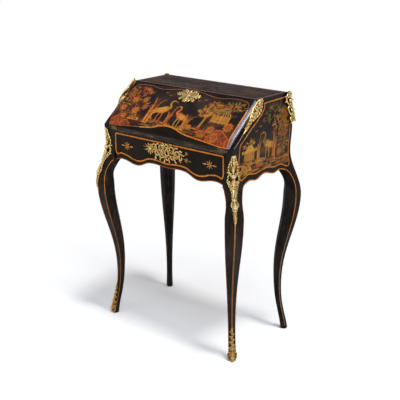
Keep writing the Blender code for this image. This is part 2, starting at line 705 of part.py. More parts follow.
def front_outline():
    """Drawer front seen from the front, as (x, z) knots, with the shaped apron edge."""
    side = DRAWER_HALF_WIDTH
    lobes = (
        (side - FRONT_END_INSET, FRONT_DROP_END),
        (FRONT_LOBE_X, FRONT_DROP_LOBE),
        (FRONT_HUMP_X, FRONT_DROP_HUMP),
        (0, FRONT_DROP_CENTRE),
    )
    left = [(-x, WRITING_HEIGHT - drop, True) for x, drop in lobes]
    right = [(x, WRITING_HEIGHT - drop, True) for x, drop in reversed(lobes[:-1])]
    edge = [(-side, ARCH_TOP, False)] + left + right + [(side, ARCH_TOP, False)]
    return edge + [(side, DRAWER_TOP, False), (-side, DRAWER_TOP, False)]


def make_drawer(drawer):
    centre_y = DRAWER_FACE_Y + DRAWER_FRONT_THICKNESS / 2
    facing = Matrix.Translation((0, centre_y, 0)) @ FACING_FRONT
    front = plate("drawer_front", front_outline(), DRAWER_FRONT_THICKNESS, facing, LACQUER, drawer)
    inner = DRAWER_HALF_WIDTH - DRAWER_WALL
    start = DRAWER_FRONT_BACK_Y + GAP
    for side, side_name in ((-1, "left"), (1, "right")):
        near, far = sorted((side * inner, side * DRAWER_HALF_WIDTH))
        side_low, side_high = (near, start, DRAWER_LOW), (far, DRAWER_BACK_Y, DRAWER_SIDE_TOP)
        box(f"drawer_side_{side_name}", side_low, side_high, OAK, drawer)
    between = inner - GAP
    bottom_top = DRAWER_LOW + DRAWER_BOTTOM
    box("drawer_bottom", (-between, start, DRAWER_LOW), (between, DRAWER_BACK_Y, bottom_top), OAK, drawer)
    back_low = (-between, DRAWER_BACK_Y - DRAWER_WALL, bottom_top + GAP)
    box("drawer_back", back_low, (between, DRAWER_BACK_Y, DRAWER_SIDE_TOP), OAK, drawer)
    return front


def turned(name, profile, matrix, material, carrier):
    """A turned piece: a profile of (radius, height) points, from its top down, spun about z."""
    shape = bmesh.new()
    points = [shape.verts.new((radius, 0, height)) for radius, height in profile]
    for first, second in zip(points, points[1:]):
        shape.edges.new((first, second))
    mesh = bpy.data.meshes.new(name)
    shape.to_mesh(mesh)
    shape.free()
    obj = add(name, mesh, matrix, material, carrier)
    screw = obj.modifiers.new("turned", "SCREW")
    screw.steps = screw.render_steps = 12
    screw.use_merge_vertices = True
    screw.merge_threshold = 0.0001
    screw.use_smooth_shade = True
    return obj


def knob_profile():
    head = KNOB_LENGTH - KNOB_RADIUS
    profile = [(0, KNOB_LENGTH)]
    for i in range(1, 6):
        angle = math.pi * i / 7
        profile.append((KNOB_RADIUS * math.sin(angle), head + KNOB_RADIUS * math.cos(angle)))
    collar = KNOB_NECK * 1.5
    profile += [(KNOB_NECK, KNOB_LENGTH * 0.2), (collar, GAP * 4), (collar, GAP), (STEM_RADIUS, GAP)]
    return profile + [(STEM_RADIUS, -STEM_LENGTH), (0, -STEM_LENGTH)]


def make_small_drawers(carriers):
    wall_x, divider_x = SIDE_INNER_X - SLIDE_GAP, DIVIDER_X + DIVIDER / 2 + SLIDE_GAP
    middle_x = DIVIDER_X - DIVIDER / 2 - SLIDE_GAP
    places = {"left": (-wall_x, -divider_x), "centre": (-middle_x, middle_x), "right": (divider_x, wall_x)}
    top = SHELF_LOW - SLIDE_GAP
    tray_y = ROW_FRONT_Y + SMALL_FRONT + GAP
    for name, (low_x, high_x) in places.items():
        carrier = carriers[name]
        front_low = (low_x, ROW_FRONT_Y, ROW_LOW)
        front_high = (high_x, ROW_FRONT_Y + SMALL_FRONT, top)
        front = box(f"small_drawer_front_{name}", front_low, front_high, ROSEWOOD, carrier)
        tray_top, tray_back = top - SMALL_HEADROOM, POST_INNER_Y - SLIDE_GAP
        tray_low, tray_high = (low_x, tray_y, ROW_LOW), (high_x, tray_back, tray_top)
        tray = box(f"small_drawer_tray_{name}", tray_low, tray_high, OAK, carrier)
        hollow = box(
            f"small_drawer_hollow_{name}",
            (low_x + SMALL_WALL, tray_y + SMALL_WALL, ROW_LOW + SMALL_BOTTOM),
            (high_x - SMALL_WALL, tray_back - SMALL_WALL, tray_top + SMALL_WALL),
        )
        combine(tray, hollow)
        centre = Vector(((low_x + high_x) / 2, ROW_FRONT_Y, (ROW_LOW + top) / 2))
        into = Vector((0, STEM_LENGTH + GAP, 0))
        hole = rod(f"small_drawer_hole_{name}", centre - into, centre + into, STEM_RADIUS + GAP, segments=12)
        combine(front, hole)
        facing = Matrix.Translation(centre) @ Matrix.Rotation(math.pi / 2, 4, "X")
        turned(f"small_drawer_knob_{name}", knob_profile(), facing, BRASS, carrier)


def corner_sheet(name, stations, carrier):
    """A bronze sheet folded over an edge. A station is the edge's place, then for each of the two faces
    its way in, its outward normal and the sheet's width on it, and the sheet's thickness on the edge."""
    rings = []
    for edge, (way_a, out_a, width_a), (way_b, out_b, width_b), thickness in stations:
        rim = MOUNT_GAP + thickness * 0.5
        ridge = MOUNT_GAP + thickness
        both = out_a + out_b
        ring = [edge + way_a * width_a + out_a * MOUNT_GAP, edge + both * MOUNT_GAP]
        ring += [edge + way_b * width_b + out_b * MOUNT_GAP, edge + way_b * width_b + out_b * rim]
        ring += [edge + both * ridge, edge + way_a * width_a + out_a * rim]
        rings.append(ring)
    return loft(name, rings, GILT, carrier)


def leg_station(z, side, back, width, thickness):
    """Where a mount sits on the outer edge of a leg or post."""
    x, y = corner(z)
    lean = FACE_LEAN * (1 - arch_flare(z))
    in_x, in_y = Vector((-side, 0, 0)), Vector((0, -back, 0))
    face_a = ((in_x - in_y * lean).normalized(), -(in_y + in_x * lean).normalized(), width)
    face_b = ((in_y - in_x * lean).normalized(), -(in_x + in_y * lean).normalized(), width)
    return Vector((side * x, back * y, z)), face_a, face_b, thickness


def leg_mount(name, side, back, widths, thickness, carrier):
    """A mount on a leg's edge, between the first and last heights of its (height, width, ease power) keys."""
    heights = spread(widths[0][0], widths[-1][0], RING_STEP / 2)
    return corner_sheet(
        name, [leg_station(z, side, back, along(widths, z), thickness(z)) for z in heights], carrier
    )


def make_leg_mounts(frame):
    knee_top = RAIL_TOP - MOUNT_GAP
    knee_low = knee_top - KNEE_CHUTE_LENGTH
    wide = KNEE_CHUTE_WIDTH
    knee_keys = (
        (knee_low, 0.10 * wide, 1),
        (knee_low + 0.36 * KNEE_CHUTE_LENGTH, 0.34 * wide, 1),
        (knee_low + 0.48 * KNEE_CHUTE_LENGTH, 0.28 * wide, 1),
        (knee_low + 0.60 * KNEE_CHUTE_LENGTH, 0.80 * wide, 1),
        (knee_low + 0.67 * KNEE_CHUTE_LENGTH, 0.66 * wide, 1),
        (knee_low + 0.75 * KNEE_CHUTE_LENGTH, wide, 1),
        (knee_low + 0.84 * KNEE_CHUTE_LENGTH, 0.46 * wide, 1),
        (knee_low + 0.92 * KNEE_CHUTE_LENGTH, 0.50 * wide, 1),
        (knee_top, 0.16 * wide, 1),
    )
    sabot_keys = (
        (SABOT_LIFT, 0.95 * NECK_FACE, 1),
        (0.16 * SABOT_HEIGHT, 1.10 * NECK_FACE, 1),
        (0.45 * SABOT_HEIGHT, 0.85 * NECK_FACE, 1),
        (0.75 * SABOT_HEIGHT, 0.60 * NECK_FACE, 1),
        (SABOT_HEIGHT, 0.10 * NECK_FACE, 1),
    )
    sabot_swell = (
        (SABOT_LIFT, 0.6 * SABOT_THICKNESS, 1),
        (0.25 * SABOT_HEIGHT, SABOT_THICKNESS, 1),
        (0.50 * SABOT_HEIGHT, 0.5 * SABOT_THICKNESS, 1),
        (SABOT_HEIGHT, 0.3 * SABOT_THICKNESS, 1),
    )
    back_top = HEIGHT - MOUNT_GAP
    back_low = back_top - BACK_CHUTE_LENGTH
    back_keys = (
        (back_low, 0.15 * BACK_CHUTE_WIDTH, 1),
        (back_low + 0.30 * BACK_CHUTE_LENGTH, 0.60 * BACK_CHUTE_WIDTH, 1),
        (back_low + 0.45 * BACK_CHUTE_LENGTH, 0.50 * BACK_CHUTE_WIDTH, 1),
        (back_low + 0.75 * BACK_CHUTE_LENGTH, BACK_CHUTE_WIDTH, 1),
        (back_top, 0.60 * BACK_CHUTE_WIDTH, 1),
    )
    for side, name in ((-1, "left"), (1, "right")):
        chute = leg_mount(f"knee_chute_{name}", side, -1, knee_keys, lambda z: MOUNT_THICKNESS, frame)
        for face, height in (("front", 0.755), ("side", 0.755), ("low_front", 0.625), ("low_side", 0.625)):
            z = knee_low + height * KNEE_CHUTE_LENGTH
            x, y = corner(z)
            inset = along(knee_keys, z) / 2
            on_front = face.endswith("front")
            place = Vector((side * (x - inset), -y, z)) if on_front else Vector((side * x, -(y - inset), z))
            way = Vector((0, POST, 0)) if on_front else Vector((POST, 0, 0))
            hole = rod(f"knee_chute_slot_{name}_{face}", place - way, place + way, inset / 3, segments=10)
            combine(chute, hole)
        leg_mount(f"sabot_{name}", side, -1, sabot_keys, lambda z: along(sabot_swell, z), frame)
        leg_mount(f"back_chute_{name}", side, 1, back_keys, lambda z: MOUNT_THICKNESS, frame)


def make_slant_chutes(frame):
    """Mounts on the sloping edges of the side panels, beside the lid."""
    high = LID_LENGTH + SLANT_CHUTE_OVER
    low = high - SLANT_CHUTE_LENGTH
    widths = (
        (low, 0.12 * SLANT_CHUTE_WIDTH, 1),
        (low + 0.35 * SLANT_CHUTE_LENGTH, 0.70 * SLANT_CHUTE_WIDTH, 1),
        (low + 0.50 * SLANT_CHUTE_LENGTH, 0.60 * SLANT_CHUTE_WIDTH, 1),
        (low + 0.80 * SLANT_CHUTE_LENGTH, SLANT_CHUTE_WIDTH, 1),
        (high, 0.60 * SLANT_CHUTE_WIDTH, 1),
    )
    rises = ((low, 0, 1), (high - SLANT_CHUTE_BEND, 0, 1), (high, SLANT_CHUTE_RISE, 1))
    for side, name in ((-1, "left"), (1, "right")):
        stations = []
        for run in spread(low, high, RING_STEP / 2):
            width = along(widths, run)
            edge = HINGE + UP_SLOPE * run + OFF_SLOPE * along(rises, run)
            below = edge - OFF_SLOPE * width
            for point in (edge, below):
                outer = corner(min(point.z, HEIGHT))[0]
                point.x = side * max(outer, LID_HALF_WIDTH + MOUNT_THICKNESS)
            room = abs(edge.x) - LID_HALF_WIDTH - 2 * LID_GAP
            on_slope = (Vector((-side, 0, 0)), OFF_SLOPE, min(width, room))
            on_side = ((below - edge) / width, Vector((side, 0, 0)), width)
            stations.append((edge, on_slope, on_side, MOUNT_THICKNESS))
        corner_sheet(f"slant_chute_{name}", stations, frame)


def lobed_outline(half_length, half_height, phase):
    """A leafy cartouche: an ellipse whose edge swells and draws in."""
    knots = []
    for i in range(PLATE_STEPS):
        angle = 2 * math.pi * i / PLATE_STEPS
        reach = (1 + PLATE_LOBE_DEPTH * math.cos(PLATE_LOBES * angle + phase)) / (1 + PLATE_LOBE_DEPTH)
        knots.append((half_length * reach * math.cos(angle), half_height * reach * math.sin(angle), False))
    return knots


def oval_outline(half_length, half_height):
    knots = []
    for i in range(OVAL_STEPS):
        angle = 2 * math.pi * (i + 0.5) / OVAL_STEPS
        knots.append((half_length * math.cos(angle), half_height * math.sin(angle), False))
    return knots


def make_keyhole_plate(name, half_length, half_height, frame, keyhole, carrier):
    """A pierced bronze plate. In its frame x runs across, y up and z out of the face that it lies on."""
    centre = frame @ Matrix.Translation((0, 0, MOUNT_GAP + PLATE_THICKNESS / 2))
    leaf = plate(name, lobed_outline(half_length, half_height, 0), PLATE_THICKNESS, centre, GILT, carrier)
    for side in (-1, 1):
        for share in (0.34, 0.64):
            place = centre @ Matrix.Translation((side * share * half_length, 0, 0))
            size = (0.13 * half_length, (0.62 - 0.4 * share) * half_height)
            slot = plate(f"{name}_piercing_{side}_{share}", oval_outline(*size), 3 * PLATE_THICKNESS, place)
            combine(leaf, slot)
    combine(leaf, keyhole)


carcass = body("carcass", (0, 0, 0))
lid_body = body("lid", HINGE, carcass)
lid_bolt = body("lid_bolt", HINGE + UP_SLOPE * LID_LENGTH, lid_body)
drawer_body = body("drawer", (0, DRAWER_FACE_Y, DRAWER_LOW), carcass)
drawer_bolt = body("drawer_bolt", (0, DRAWER_FRONT_BACK_Y, DRAWER_TOP), drawer_body)
small_bodies = {}
for place in ("left", "centre", "right"):
    small_bodies[place] = body(f"small_drawer_{place}", (0, ROW_FRONT_Y, ROW_LOW), carcass)

make_legs(carcass)
make_side_panels(carcass)
make_top_board(carcass)
writing_bed = make_carcass_boards(carcass)
make_pigeonholes(carcass)
flap = make_lid(lid_body)
make_hinges(carcass, lid_body, flap, writing_bed)
apron = make_drawer(drawer_body)
make_small_drawers(small_bodies)

lid_lock = LID_FRAME @ Matrix.Translation((0, LID_LENGTH - GAP, GAP))
drawer_lock = Matrix.Translation((0, DRAWER_FRONT_BACK_Y, DRAWER_TOP - GAP)) @ FACING_FRONT
lid_keyhole = make_lock("lid", lid_body, lid_bolt, flap, lid_lock)
drawer_keyhole = make_lock("drawer", drawer_body, drawer_bolt, apron, drawer_lock)
combine(flap, lid_keyhole)
combine(apron, drawer_keyhole)

make_leg_mounts(carcass)
make_slant_chutes(carcass)
lid_plate_run = LID_LENGTH - PLATE_EDGE_GAP - LID_PLATE_HALF_HEIGHT
lid_plate_frame = LID_FRAME @ Matrix.Translation((0, lid_plate_run, LID_FACE))
make_keyhole_plate(
    "lid_keyhole_plate", LID_PLATE_HALF_LENGTH, LID_PLATE_HALF_HEIGHT, lid_plate_frame, lid_keyhole, lid_body
)
drawer_plate_z = DRAWER_TOP - PLATE_EDGE_GAP - DRAWER_PLATE_HALF_HEIGHT
drawer_plate_frame = Matrix.Translation((0, DRAWER_FACE_Y, drawer_plate_z)) @ FACING_FRONT
make_keyhole_plate(
    "drawer_keyhole_plate",
    DRAWER_PLATE_HALF_LENGTH,
    DRAWER_PLATE_HALF_HEIGHT,
    drawer_plate_frame,
    drawer_keyhole,
    drawer_body,
)
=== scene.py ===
# %% [markdown]
# # A lacquered slant-front desk
# The imported model is the fixed frame: every board, leg and drawer is already in its place, in metres.
# This lesson gives the boards their finishes and adds what the cabinet's decorators added: painted
# panels, gold lines and cast gilt mounts. The frame comes first.

# %% Load the frame
import json
import math

import bpy
import numpy as np
from mathutils import Matrix, Vector


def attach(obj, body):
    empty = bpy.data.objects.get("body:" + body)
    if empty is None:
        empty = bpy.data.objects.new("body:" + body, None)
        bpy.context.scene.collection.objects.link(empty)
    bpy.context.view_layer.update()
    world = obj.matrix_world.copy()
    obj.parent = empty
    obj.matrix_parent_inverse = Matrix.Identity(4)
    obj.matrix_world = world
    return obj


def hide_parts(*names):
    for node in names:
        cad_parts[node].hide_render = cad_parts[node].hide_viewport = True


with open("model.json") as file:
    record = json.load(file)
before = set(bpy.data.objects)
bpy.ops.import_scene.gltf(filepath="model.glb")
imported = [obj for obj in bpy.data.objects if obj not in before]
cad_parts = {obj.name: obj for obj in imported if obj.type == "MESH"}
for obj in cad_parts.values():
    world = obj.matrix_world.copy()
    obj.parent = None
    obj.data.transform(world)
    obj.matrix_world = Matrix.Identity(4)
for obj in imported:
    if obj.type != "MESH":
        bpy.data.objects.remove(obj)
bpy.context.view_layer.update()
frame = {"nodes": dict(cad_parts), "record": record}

MM = 0.001
scene = bpy.context.scene
scene.view_settings.view_transform = "Standard"

# %% [markdown]
# ## Camera
# The picture was taken from the right front, a little above the lid, with a long lens. A camera can be
# aimed with a constraint, or turned in code towards a point: the second leaves nothing live behind.

# %% Camera
EYE = Vector((1.8108, -2.1127, 1.4325))
AIM = Vector((0.0074, 0.0063, 0.4871))
LENS = 71.94
SENSOR = 36.0
ROLL = -0.0041

bpy.ops.object.camera_add(location=EYE)
camera = bpy.context.object
look = (AIM - EYE).to_track_quat("-Z", "Y").to_matrix() @ Matrix.Rotation(ROLL, 3, "Z")
camera.rotation_euler = look.to_euler()
camera.data.lens = LENS
camera.data.sensor_width = SENSOR
scene.camera = camera
print("camera distance:", round((AIM - EYE).length, 3))

# %% [markdown]
# ## Floor and lamps
# A studio sweep is white, with a soft shadow under the desk. A wide plane gives the floor. A soft sun
# high on the right throws the shadow to the left, and two large panels give the lacquer something to
# shine with. A low soft lamp is linked to the floor alone: it draws out the shadow beside each foot and
# leaves the desk as it is.

# %% Floor and lamps
FLOOR_SIZE, FLOOR_LEVEL = 600, -0.0004
SUN_PLACE, SUN_STRENGTH, SUN_SPREAD = (0.9, -0.03, 3.0), 1.68, math.radians(11)
LOW_SUN_PLACE, LOW_SUN_STRENGTH, LOW_SUN_SPREAD = (2.8, 0.0, 1.0), 2.6, math.radians(17)
OVER_PLACE, OVER_TARGET, OVER_POWER, OVER_SIZE = (0.98, -0.62, 2.84), (0.28, -0.05, 0.83), 30, 1.15
OVER_TINT = (0.80, 0.88, 1.0)
FRONT_PLACE, FRONT_TARGET, FRONT_POWER, FRONT_SIZE = (-1.0, -3.2, 2.2), (0, 0, 0.6), 24, 1.8

bpy.ops.object.select_all(action="DESELECT")
bpy.ops.mesh.primitive_plane_add(size=FLOOR_SIZE, location=(0, 0, FLOOR_LEVEL))
floor = bpy.context.object
floor.name = "floor"
bpy.ops.object.transform_apply(location=True, rotation=False, scale=False)


def aimed_light(kind, name, place, target, strength):
    """Adds a lamp at a place, turned to a target."""
    bpy.ops.object.light_add(type=kind, location=place)
    lamp = bpy.context.object
    lamp.name = name
    lamp.rotation_euler = (Vector(target) - Vector(place)).to_track_quat("-Z", "Y").to_euler()
    lamp.data.energy = strength
    return lamp


sun = aimed_light("SUN", "sun", SUN_PLACE, (0, 0, 0), SUN_STRENGTH)
sun.data.angle = SUN_SPREAD
panel_over = aimed_light("AREA", "panel_over", OVER_PLACE, OVER_TARGET, OVER_POWER)
panel_over.data.size = OVER_SIZE
panel_over.data.color = OVER_TINT
panel_front = aimed_light("AREA", "panel_front", FRONT_PLACE, FRONT_TARGET, FRONT_POWER)
panel_front.data.size = FRONT_SIZE

floor_group = bpy.data.collections.new("floor_group")
floor_group.objects.link(floor)
floor_sun = aimed_light("SUN", "floor_sun", LOW_SUN_PLACE, (0, 0, 0), LOW_SUN_STRENGTH)
floor_sun.data.angle = LOW_SUN_SPREAD
floor_sun.light_linking.receiver_collection = floor_group

# %% [markdown]
# ## Room
# A studio's walls and ceiling fill the shadows: dim at the horizon, pale overhead. A dome of mesh could
# stand for them, but a gradient in the world's nodes needs no mesh. Where the camera sees past the floor,
# it sees a white backdrop, and polished metal mirrors the lowest part of that.

# %% Room
ROOM_LEVEL = 0.74
ROOM_LOW, ROOM_HIGH = (0.42, 0.43, 0.46, 1), (0.95, 0.96, 1.0, 1)
BACKDROP_TOP = (0.10, 0.04)


def worked(nodes, operation, first, second):
    """A Math node that works out one value from two."""
    node = nodes.nodes.new("ShaderNodeMath")
    node.operation = operation
    for socket, value in zip(node.inputs, (first, second)):
        if isinstance(value, float):
            socket.default_value = value
        else:
            nodes.links.new(value, socket)
    return node.outputs[0]


def share_between(nodes, value, ends):
    """A share that runs from 0 to 1 as a value runs between two ends."""
    node = nodes.nodes.new("ShaderNodeMapRange")
    node.inputs["From Min"].default_value, node.inputs["From Max"].default_value = ends
    nodes.links.new(value, node.inputs["Value"])
    return node.outputs["Result"]


def seen_rays(nodes):
    """The rays that come from the camera, and those that are mirrored or pass through glass."""
    ray = nodes.nodes.new("ShaderNodeLightPath").outputs
    return ray["Is Camera Ray"], worked(nodes, "MAXIMUM", ray["Is Glossy Ray"], ray["Is Transmission Ray"])


world = bpy.data.worlds.new("room")
scene.world = world
world.use_nodes = True
nodes = world.node_tree
walls = nodes.nodes["Background"]
walls.inputs["Strength"].default_value = ROOM_LEVEL
place = nodes.nodes.new("ShaderNodeTexCoord")
split = nodes.nodes.new("ShaderNodeSeparateXYZ")
nodes.links.new(place.outputs["Generated"], split.inputs[0])
sky = nodes.nodes.new("ShaderNodeValToRGB")
for element, position, colour in zip(sky.color_ramp.elements, (0.5, 1.0), (ROOM_LOW, ROOM_HIGH)):
    element.position = position
    element.color = colour
nodes.links.new(share_between(nodes, split.outputs["Z"], (-1.0, 1.0)), sky.inputs["Fac"])
nodes.links.new(sky.outputs["Color"], walls.inputs["Color"])
backdrop = nodes.nodes.new("ShaderNodeBackground")
backdrop.inputs["Color"].default_value = (1, 1, 1, 1)
by_camera, by_mirror = seen_rays(nodes)
mirrored_low = worked(nodes, "MULTIPLY", by_mirror, share_between(nodes, split.outputs["Z"], BACKDROP_TOP))
either = nodes.nodes.new("ShaderNodeMixShader")
nodes.links.new(worked(nodes, "MAXIMUM", by_camera, mirrored_low), either.inputs[0])
nodes.links.new(walls.outputs[0], either.inputs[1])
nodes.links.new(backdrop.outputs[0], either.inputs[2])
nodes.links.new(either.outputs[0], nodes.nodes["World Output"].inputs["Surface"])
print("room:", len(nodes.nodes), "nodes")

# %% [markdown]
# ## Finishes
# Every finish is a small tree of nodes on Object coordinates, so a pattern stays on its board. A few
# helpers keep the trees short: a noise, a colour ramp, a mix, a share along an axis and a bump.

# %% Helpers for finishes


def srgb(red, green, blue):
    """A colour as seen on the screen, 0 to 255, as the linear numbers that shaders use."""
    shares = (c / 255 for c in (red, green, blue))
    return tuple(c / 12.92 if c <= 0.04 else ((c + 0.055) / 1.055) ** 2.4 for c in shares)


def new_finish(name):
    """An empty material: its tree, its shader and its Object coordinates."""
    material = bpy.data.materials.new(name)
    material.use_nodes = True
    nodes = material.node_tree
    coords = nodes.nodes.new("ShaderNodeTexCoord")
    return material, nodes, nodes.nodes["Principled BSDF"], coords.outputs["Object"]


def stretched(nodes, vector, scale):
    """Coordinates stretched along the axes, for grain and brush marks."""
    mapping = nodes.nodes.new("ShaderNodeMapping")
    mapping.inputs["Scale"].default_value = scale
    nodes.links.new(vector, mapping.inputs["Vector"])
    return mapping.outputs["Vector"]


def noise(nodes, vector, scale, detail=4.0, roughness=0.55, warp=0.0):
    """A cloud pattern with a given number of clouds to the metre."""
    texture = nodes.nodes.new("ShaderNodeTexNoise")
    texture.inputs["Scale"].default_value = scale
    texture.inputs["Detail"].default_value = detail
    texture.inputs["Roughness"].default_value = roughness
    texture.inputs["Distortion"].default_value = warp
    nodes.links.new(vector, texture.inputs["Vector"])
    return texture.outputs["Fac"]


def attribute(nodes, name, output="Fac"):
    """A value or a colour that each point of the mesh carries."""
    node = nodes.nodes.new("ShaderNodeAttribute")
    node.attribute_name = name
    return node.outputs[output]


def ramp(nodes, value, *stops):
    """Colours, or grey levels, spread over a pattern."""
    node = nodes.nodes.new("ShaderNodeValToRGB")
    elements = node.color_ramp.elements
    while len(elements) < len(stops):
        elements.new(0.5)
    for element, (position, colour) in zip(elements, stops):
        element.position = position
        element.color = (colour, colour, colour, 1) if isinstance(colour, float) else (*colour, 1)
    nodes.links.new(value, node.inputs["Fac"])
    return node.outputs["Color"]


def mixed(nodes, share, first, second, kind="MIX"):
    """Two colours mixed by a pattern or a fixed share."""
    node = nodes.nodes.new("ShaderNodeMix")
    node.data_type = "RGBA"
    node.blend_type = kind
    for socket, value in ((node.inputs[0], share), (node.inputs[6], first), (node.inputs[7], second)):
        if hasattr(value, "links"):
            nodes.links.new(value, socket)
        else:
            socket.default_value = value if isinstance(value, float) else (*value, 1)
    return node.outputs[2]


def along_axis(nodes, vector, axis, ends):
    """A share that runs from 0 to 1 between two places on an axis."""
    split = nodes.nodes.new("ShaderNodeSeparateXYZ")
    nodes.links.new(vector, split.inputs[0])
    return share_between(nodes, split.outputs[axis], ends)


def bump(nodes, height, strength, distance, shader, under=None):
    """Small relief from a pattern; a second one can lie under it."""
    node = nodes.nodes.new("ShaderNodeBump")
    node.inputs["Strength"].default_value = strength
    node.inputs["Distance"].default_value = distance
    nodes.links.new(height, node.inputs["Height"])
    if under is not None:
        nodes.links.new(under, node.inputs["Normal"])
    nodes.links.new(node.outputs["Normal"], shader.inputs["Normal"])
    return node.outputs["Normal"]


def darker(colour, share):
    """A colour with its light scaled."""
    return tuple(share * c for c in colour)


print("helpers for finishes are ready")

# %% [markdown]
# ## Black lacquer
# Old lacquer isn't pure black: it is a brown-black film, a little cloudy, with fine brush marks and dull
# spots, and rubbed brown where hands and sleeves pass. On the front of the nosing that paler colour is also
# a painted highlight, the sheen of its rounded edge. One flat black could stand for it, but it would look
# like plastic. Two noises mix the colours, a third makes the gloss uneven, and a faint bump stops the
# reflections from being perfect mirrors.

# %% Black lacquer
LACQUER_SHEEN = 0.16
VARNISH_TINT = (1.0, 0.86, 0.72, 1.0)
UPRIGHT_MARKS, LEVEL_MARKS, LEVEL_WEAR_SHEEN = (1.0, 1.0, 0.16), (0.10, 1.0, 1.0), (0.2, 1.0, 1.0)
RUBBED_SHEEN_FRONT = (-0.1585, -0.1605)


def lacquer_finish(name, dark, warm, gloss, sheen=LACQUER_SHEEN, marks=UPRIGHT_MARKS, streaks=0.45,
                   rubbed_sheen=None):
    """A cloudy film with brush marks along an axis; its front may carry a paler colour, partly wear and
    partly a painted highlight.
    """
    material, nodes, shader, place = new_finish(name)
    clouds = noise(nodes, place, 14.0, 6.0, 0.62, 0.4)
    brushed = noise(nodes, stretched(nodes, place, marks), 120.0, 3.0, 0.6)
    colour = mixed(nodes, ramp(nodes, clouds, (0.38, 0.0), (0.72, 1.0)), dark, warm)
    colour = mixed(nodes, ramp(nodes, brushed, (0.50, 0.0), (0.76, streaks)), colour, darker(warm, 2.6))
    # The front band: rubbed wear mixed with a painted highlight of the edge's sheen.
    if rubbed_sheen:
        wear = noise(nodes, stretched(nodes, place, LEVEL_WEAR_SHEEN), 46.0, 6.0, 0.72)
        worn = mixed(nodes, ramp(nodes, wear, (0.54, 0.0), (0.68, 0.8)), colour, rubbed_sheen)
        colour = mixed(nodes, along_axis(nodes, place, "Y", RUBBED_SHEEN_FRONT), colour, worn)
    nodes.links.new(colour, shader.inputs["Base Color"])
    dull = noise(nodes, place, 38.0, 5.0, 0.6)
    nodes.links.new(ramp(nodes, dull, (0.3, gloss), (0.75, gloss + 0.16)), shader.inputs["Roughness"])
    shader.inputs["Specular IOR Level"].default_value = sheen
    shader.inputs["Specular Tint"].default_value = VARNISH_TINT
    first = bump(nodes, noise(nodes, place, 300.0, 2.0), 0.05, 0.0004, shader)
    bump(nodes, noise(nodes, place, 9.0, 2.0), 0.10, 0.004, shader, first)
    return material


black_lacquer = lacquer_finish("black_lacquer", srgb(7, 5, 4), srgb(23, 15, 10), 0.22, 0.11)
leg_lacquer = lacquer_finish("leg_lacquer", srgb(17, 14, 12), srgb(44, 35, 29), 0.34, 0.07)
back_leg_lacquer = lacquer_finish("back_leg_lacquer", srgb(19, 17, 16), srgb(39, 33, 30), 0.50, 0.03)
# Painted highlight: a blue-grey lacquer for the right chamfer of the lid, where it catches the light.
lid_chamfer_highlight = lacquer_finish("lid_chamfer_highlight", srgb(66, 66, 78), srgb(98, 94, 104), 0.22, 0.36)
lid_chamfer_highlight.node_tree.nodes["Principled BSDF"].inputs["Specular Tint"].default_value = (1, 1, 1, 1)
nosing_lacquer = lacquer_finish("nosing_lacquer", srgb(13, 9, 7), srgb(40, 30, 23), 0.26, 0.20, LEVEL_MARKS,
                                0.7, srgb(112, 92, 76))
# Paler edge lacquers: a rubbed pinkish brown that is also a painted highlight, and a pale pink painted
# highlight.
worn_edge_highlight = lacquer_finish("worn_edge_highlight", srgb(150, 116, 108), srgb(96, 70, 62), 0.20)
lid_edge_highlight = lacquer_finish("lid_edge_highlight", srgb(226, 196, 190), srgb(176, 140, 132), 0.20)
lacquers = (black_lacquer, leg_lacquer, back_leg_lacquer, lid_chamfer_highlight, nosing_lacquer, worn_edge_highlight, lid_edge_highlight)
print("made", [m.name for m in lacquers])

# %% [markdown]
# ## Bare woods, leather and metals
# Inside, the drawers are plain oak and the little fronts rosewood. Grain is a noise stretched along the
# board; a picture of wood would show its repeats. The writing surface is tooled leather, the hinges
# brass, the locks steel.

# %% Woods, leather and metals
ALONG_OAK, ALONG_ROSEWOOD = (0.06, 1.0, 1.0), (0.10, 1.0, 1.0)


def wood_finish(name, pale, dark, along, roughness):
    """Grain and pores along the board."""
    material, nodes, shader, place = new_finish(name)
    grain = noise(nodes, stretched(nodes, place, along), 90.0, 6.0, 0.62, 0.6)
    pores = noise(nodes, stretched(nodes, place, along), 420.0, 2.0, 0.5)
    colour = mixed(nodes, ramp(nodes, grain, (0.32, 0.0), (0.68, 1.0)), pale, dark)
    colour = mixed(nodes, ramp(nodes, pores, (0.60, 0.0), (0.72, 0.55)), colour, darker(dark, 0.45))
    nodes.links.new(colour, shader.inputs["Base Color"])
    nodes.links.new(ramp(nodes, grain, (0.3, roughness), (0.7, roughness + 0.15)), shader.inputs["Roughness"])
    bump(nodes, pores, 0.16, 0.0004, shader)
    return material


def metal_finish(name, pale, dark, low, high, scale):
    """Stained metal, duller where it is darker."""
    material, nodes, shader, place = new_finish(name)
    stain = noise(nodes, place, scale, 6.0, 0.65)
    colour = mixed(nodes, ramp(nodes, stain, (0.36, 0.0), (0.7, 1.0)), pale, dark)
    nodes.links.new(colour, shader.inputs["Base Color"])
    nodes.links.new(ramp(nodes, stain, (0.3, low), (0.75, high)), shader.inputs["Roughness"])
    shader.inputs["Metallic"].default_value = 1.0
    bump(nodes, noise(nodes, place, scale * 8, 3.0), 0.12, 0.0003, shader)
    return material


def leather_finish(name):
    """Brown hide: fine cells in the bump, darker patches of age."""
    material, nodes, shader, place = new_finish(name)
    cells = nodes.nodes.new("ShaderNodeTexVoronoi")
    cells.inputs["Scale"].default_value = 620.0
    nodes.links.new(place, cells.inputs["Vector"])
    age = noise(nodes, place, 11.0, 6.0, 0.6)
    colour = mixed(nodes, ramp(nodes, age, (0.35, 0.0), (0.7, 1.0)), srgb(120, 74, 42), srgb(74, 42, 26))
    nodes.links.new(colour, shader.inputs["Base Color"])
    nodes.links.new(ramp(nodes, age, (0.3, 0.42), (0.7, 0.60)), shader.inputs["Roughness"])
    bump(nodes, cells.outputs["Distance"], 0.35, 0.0005, shader)
    return material


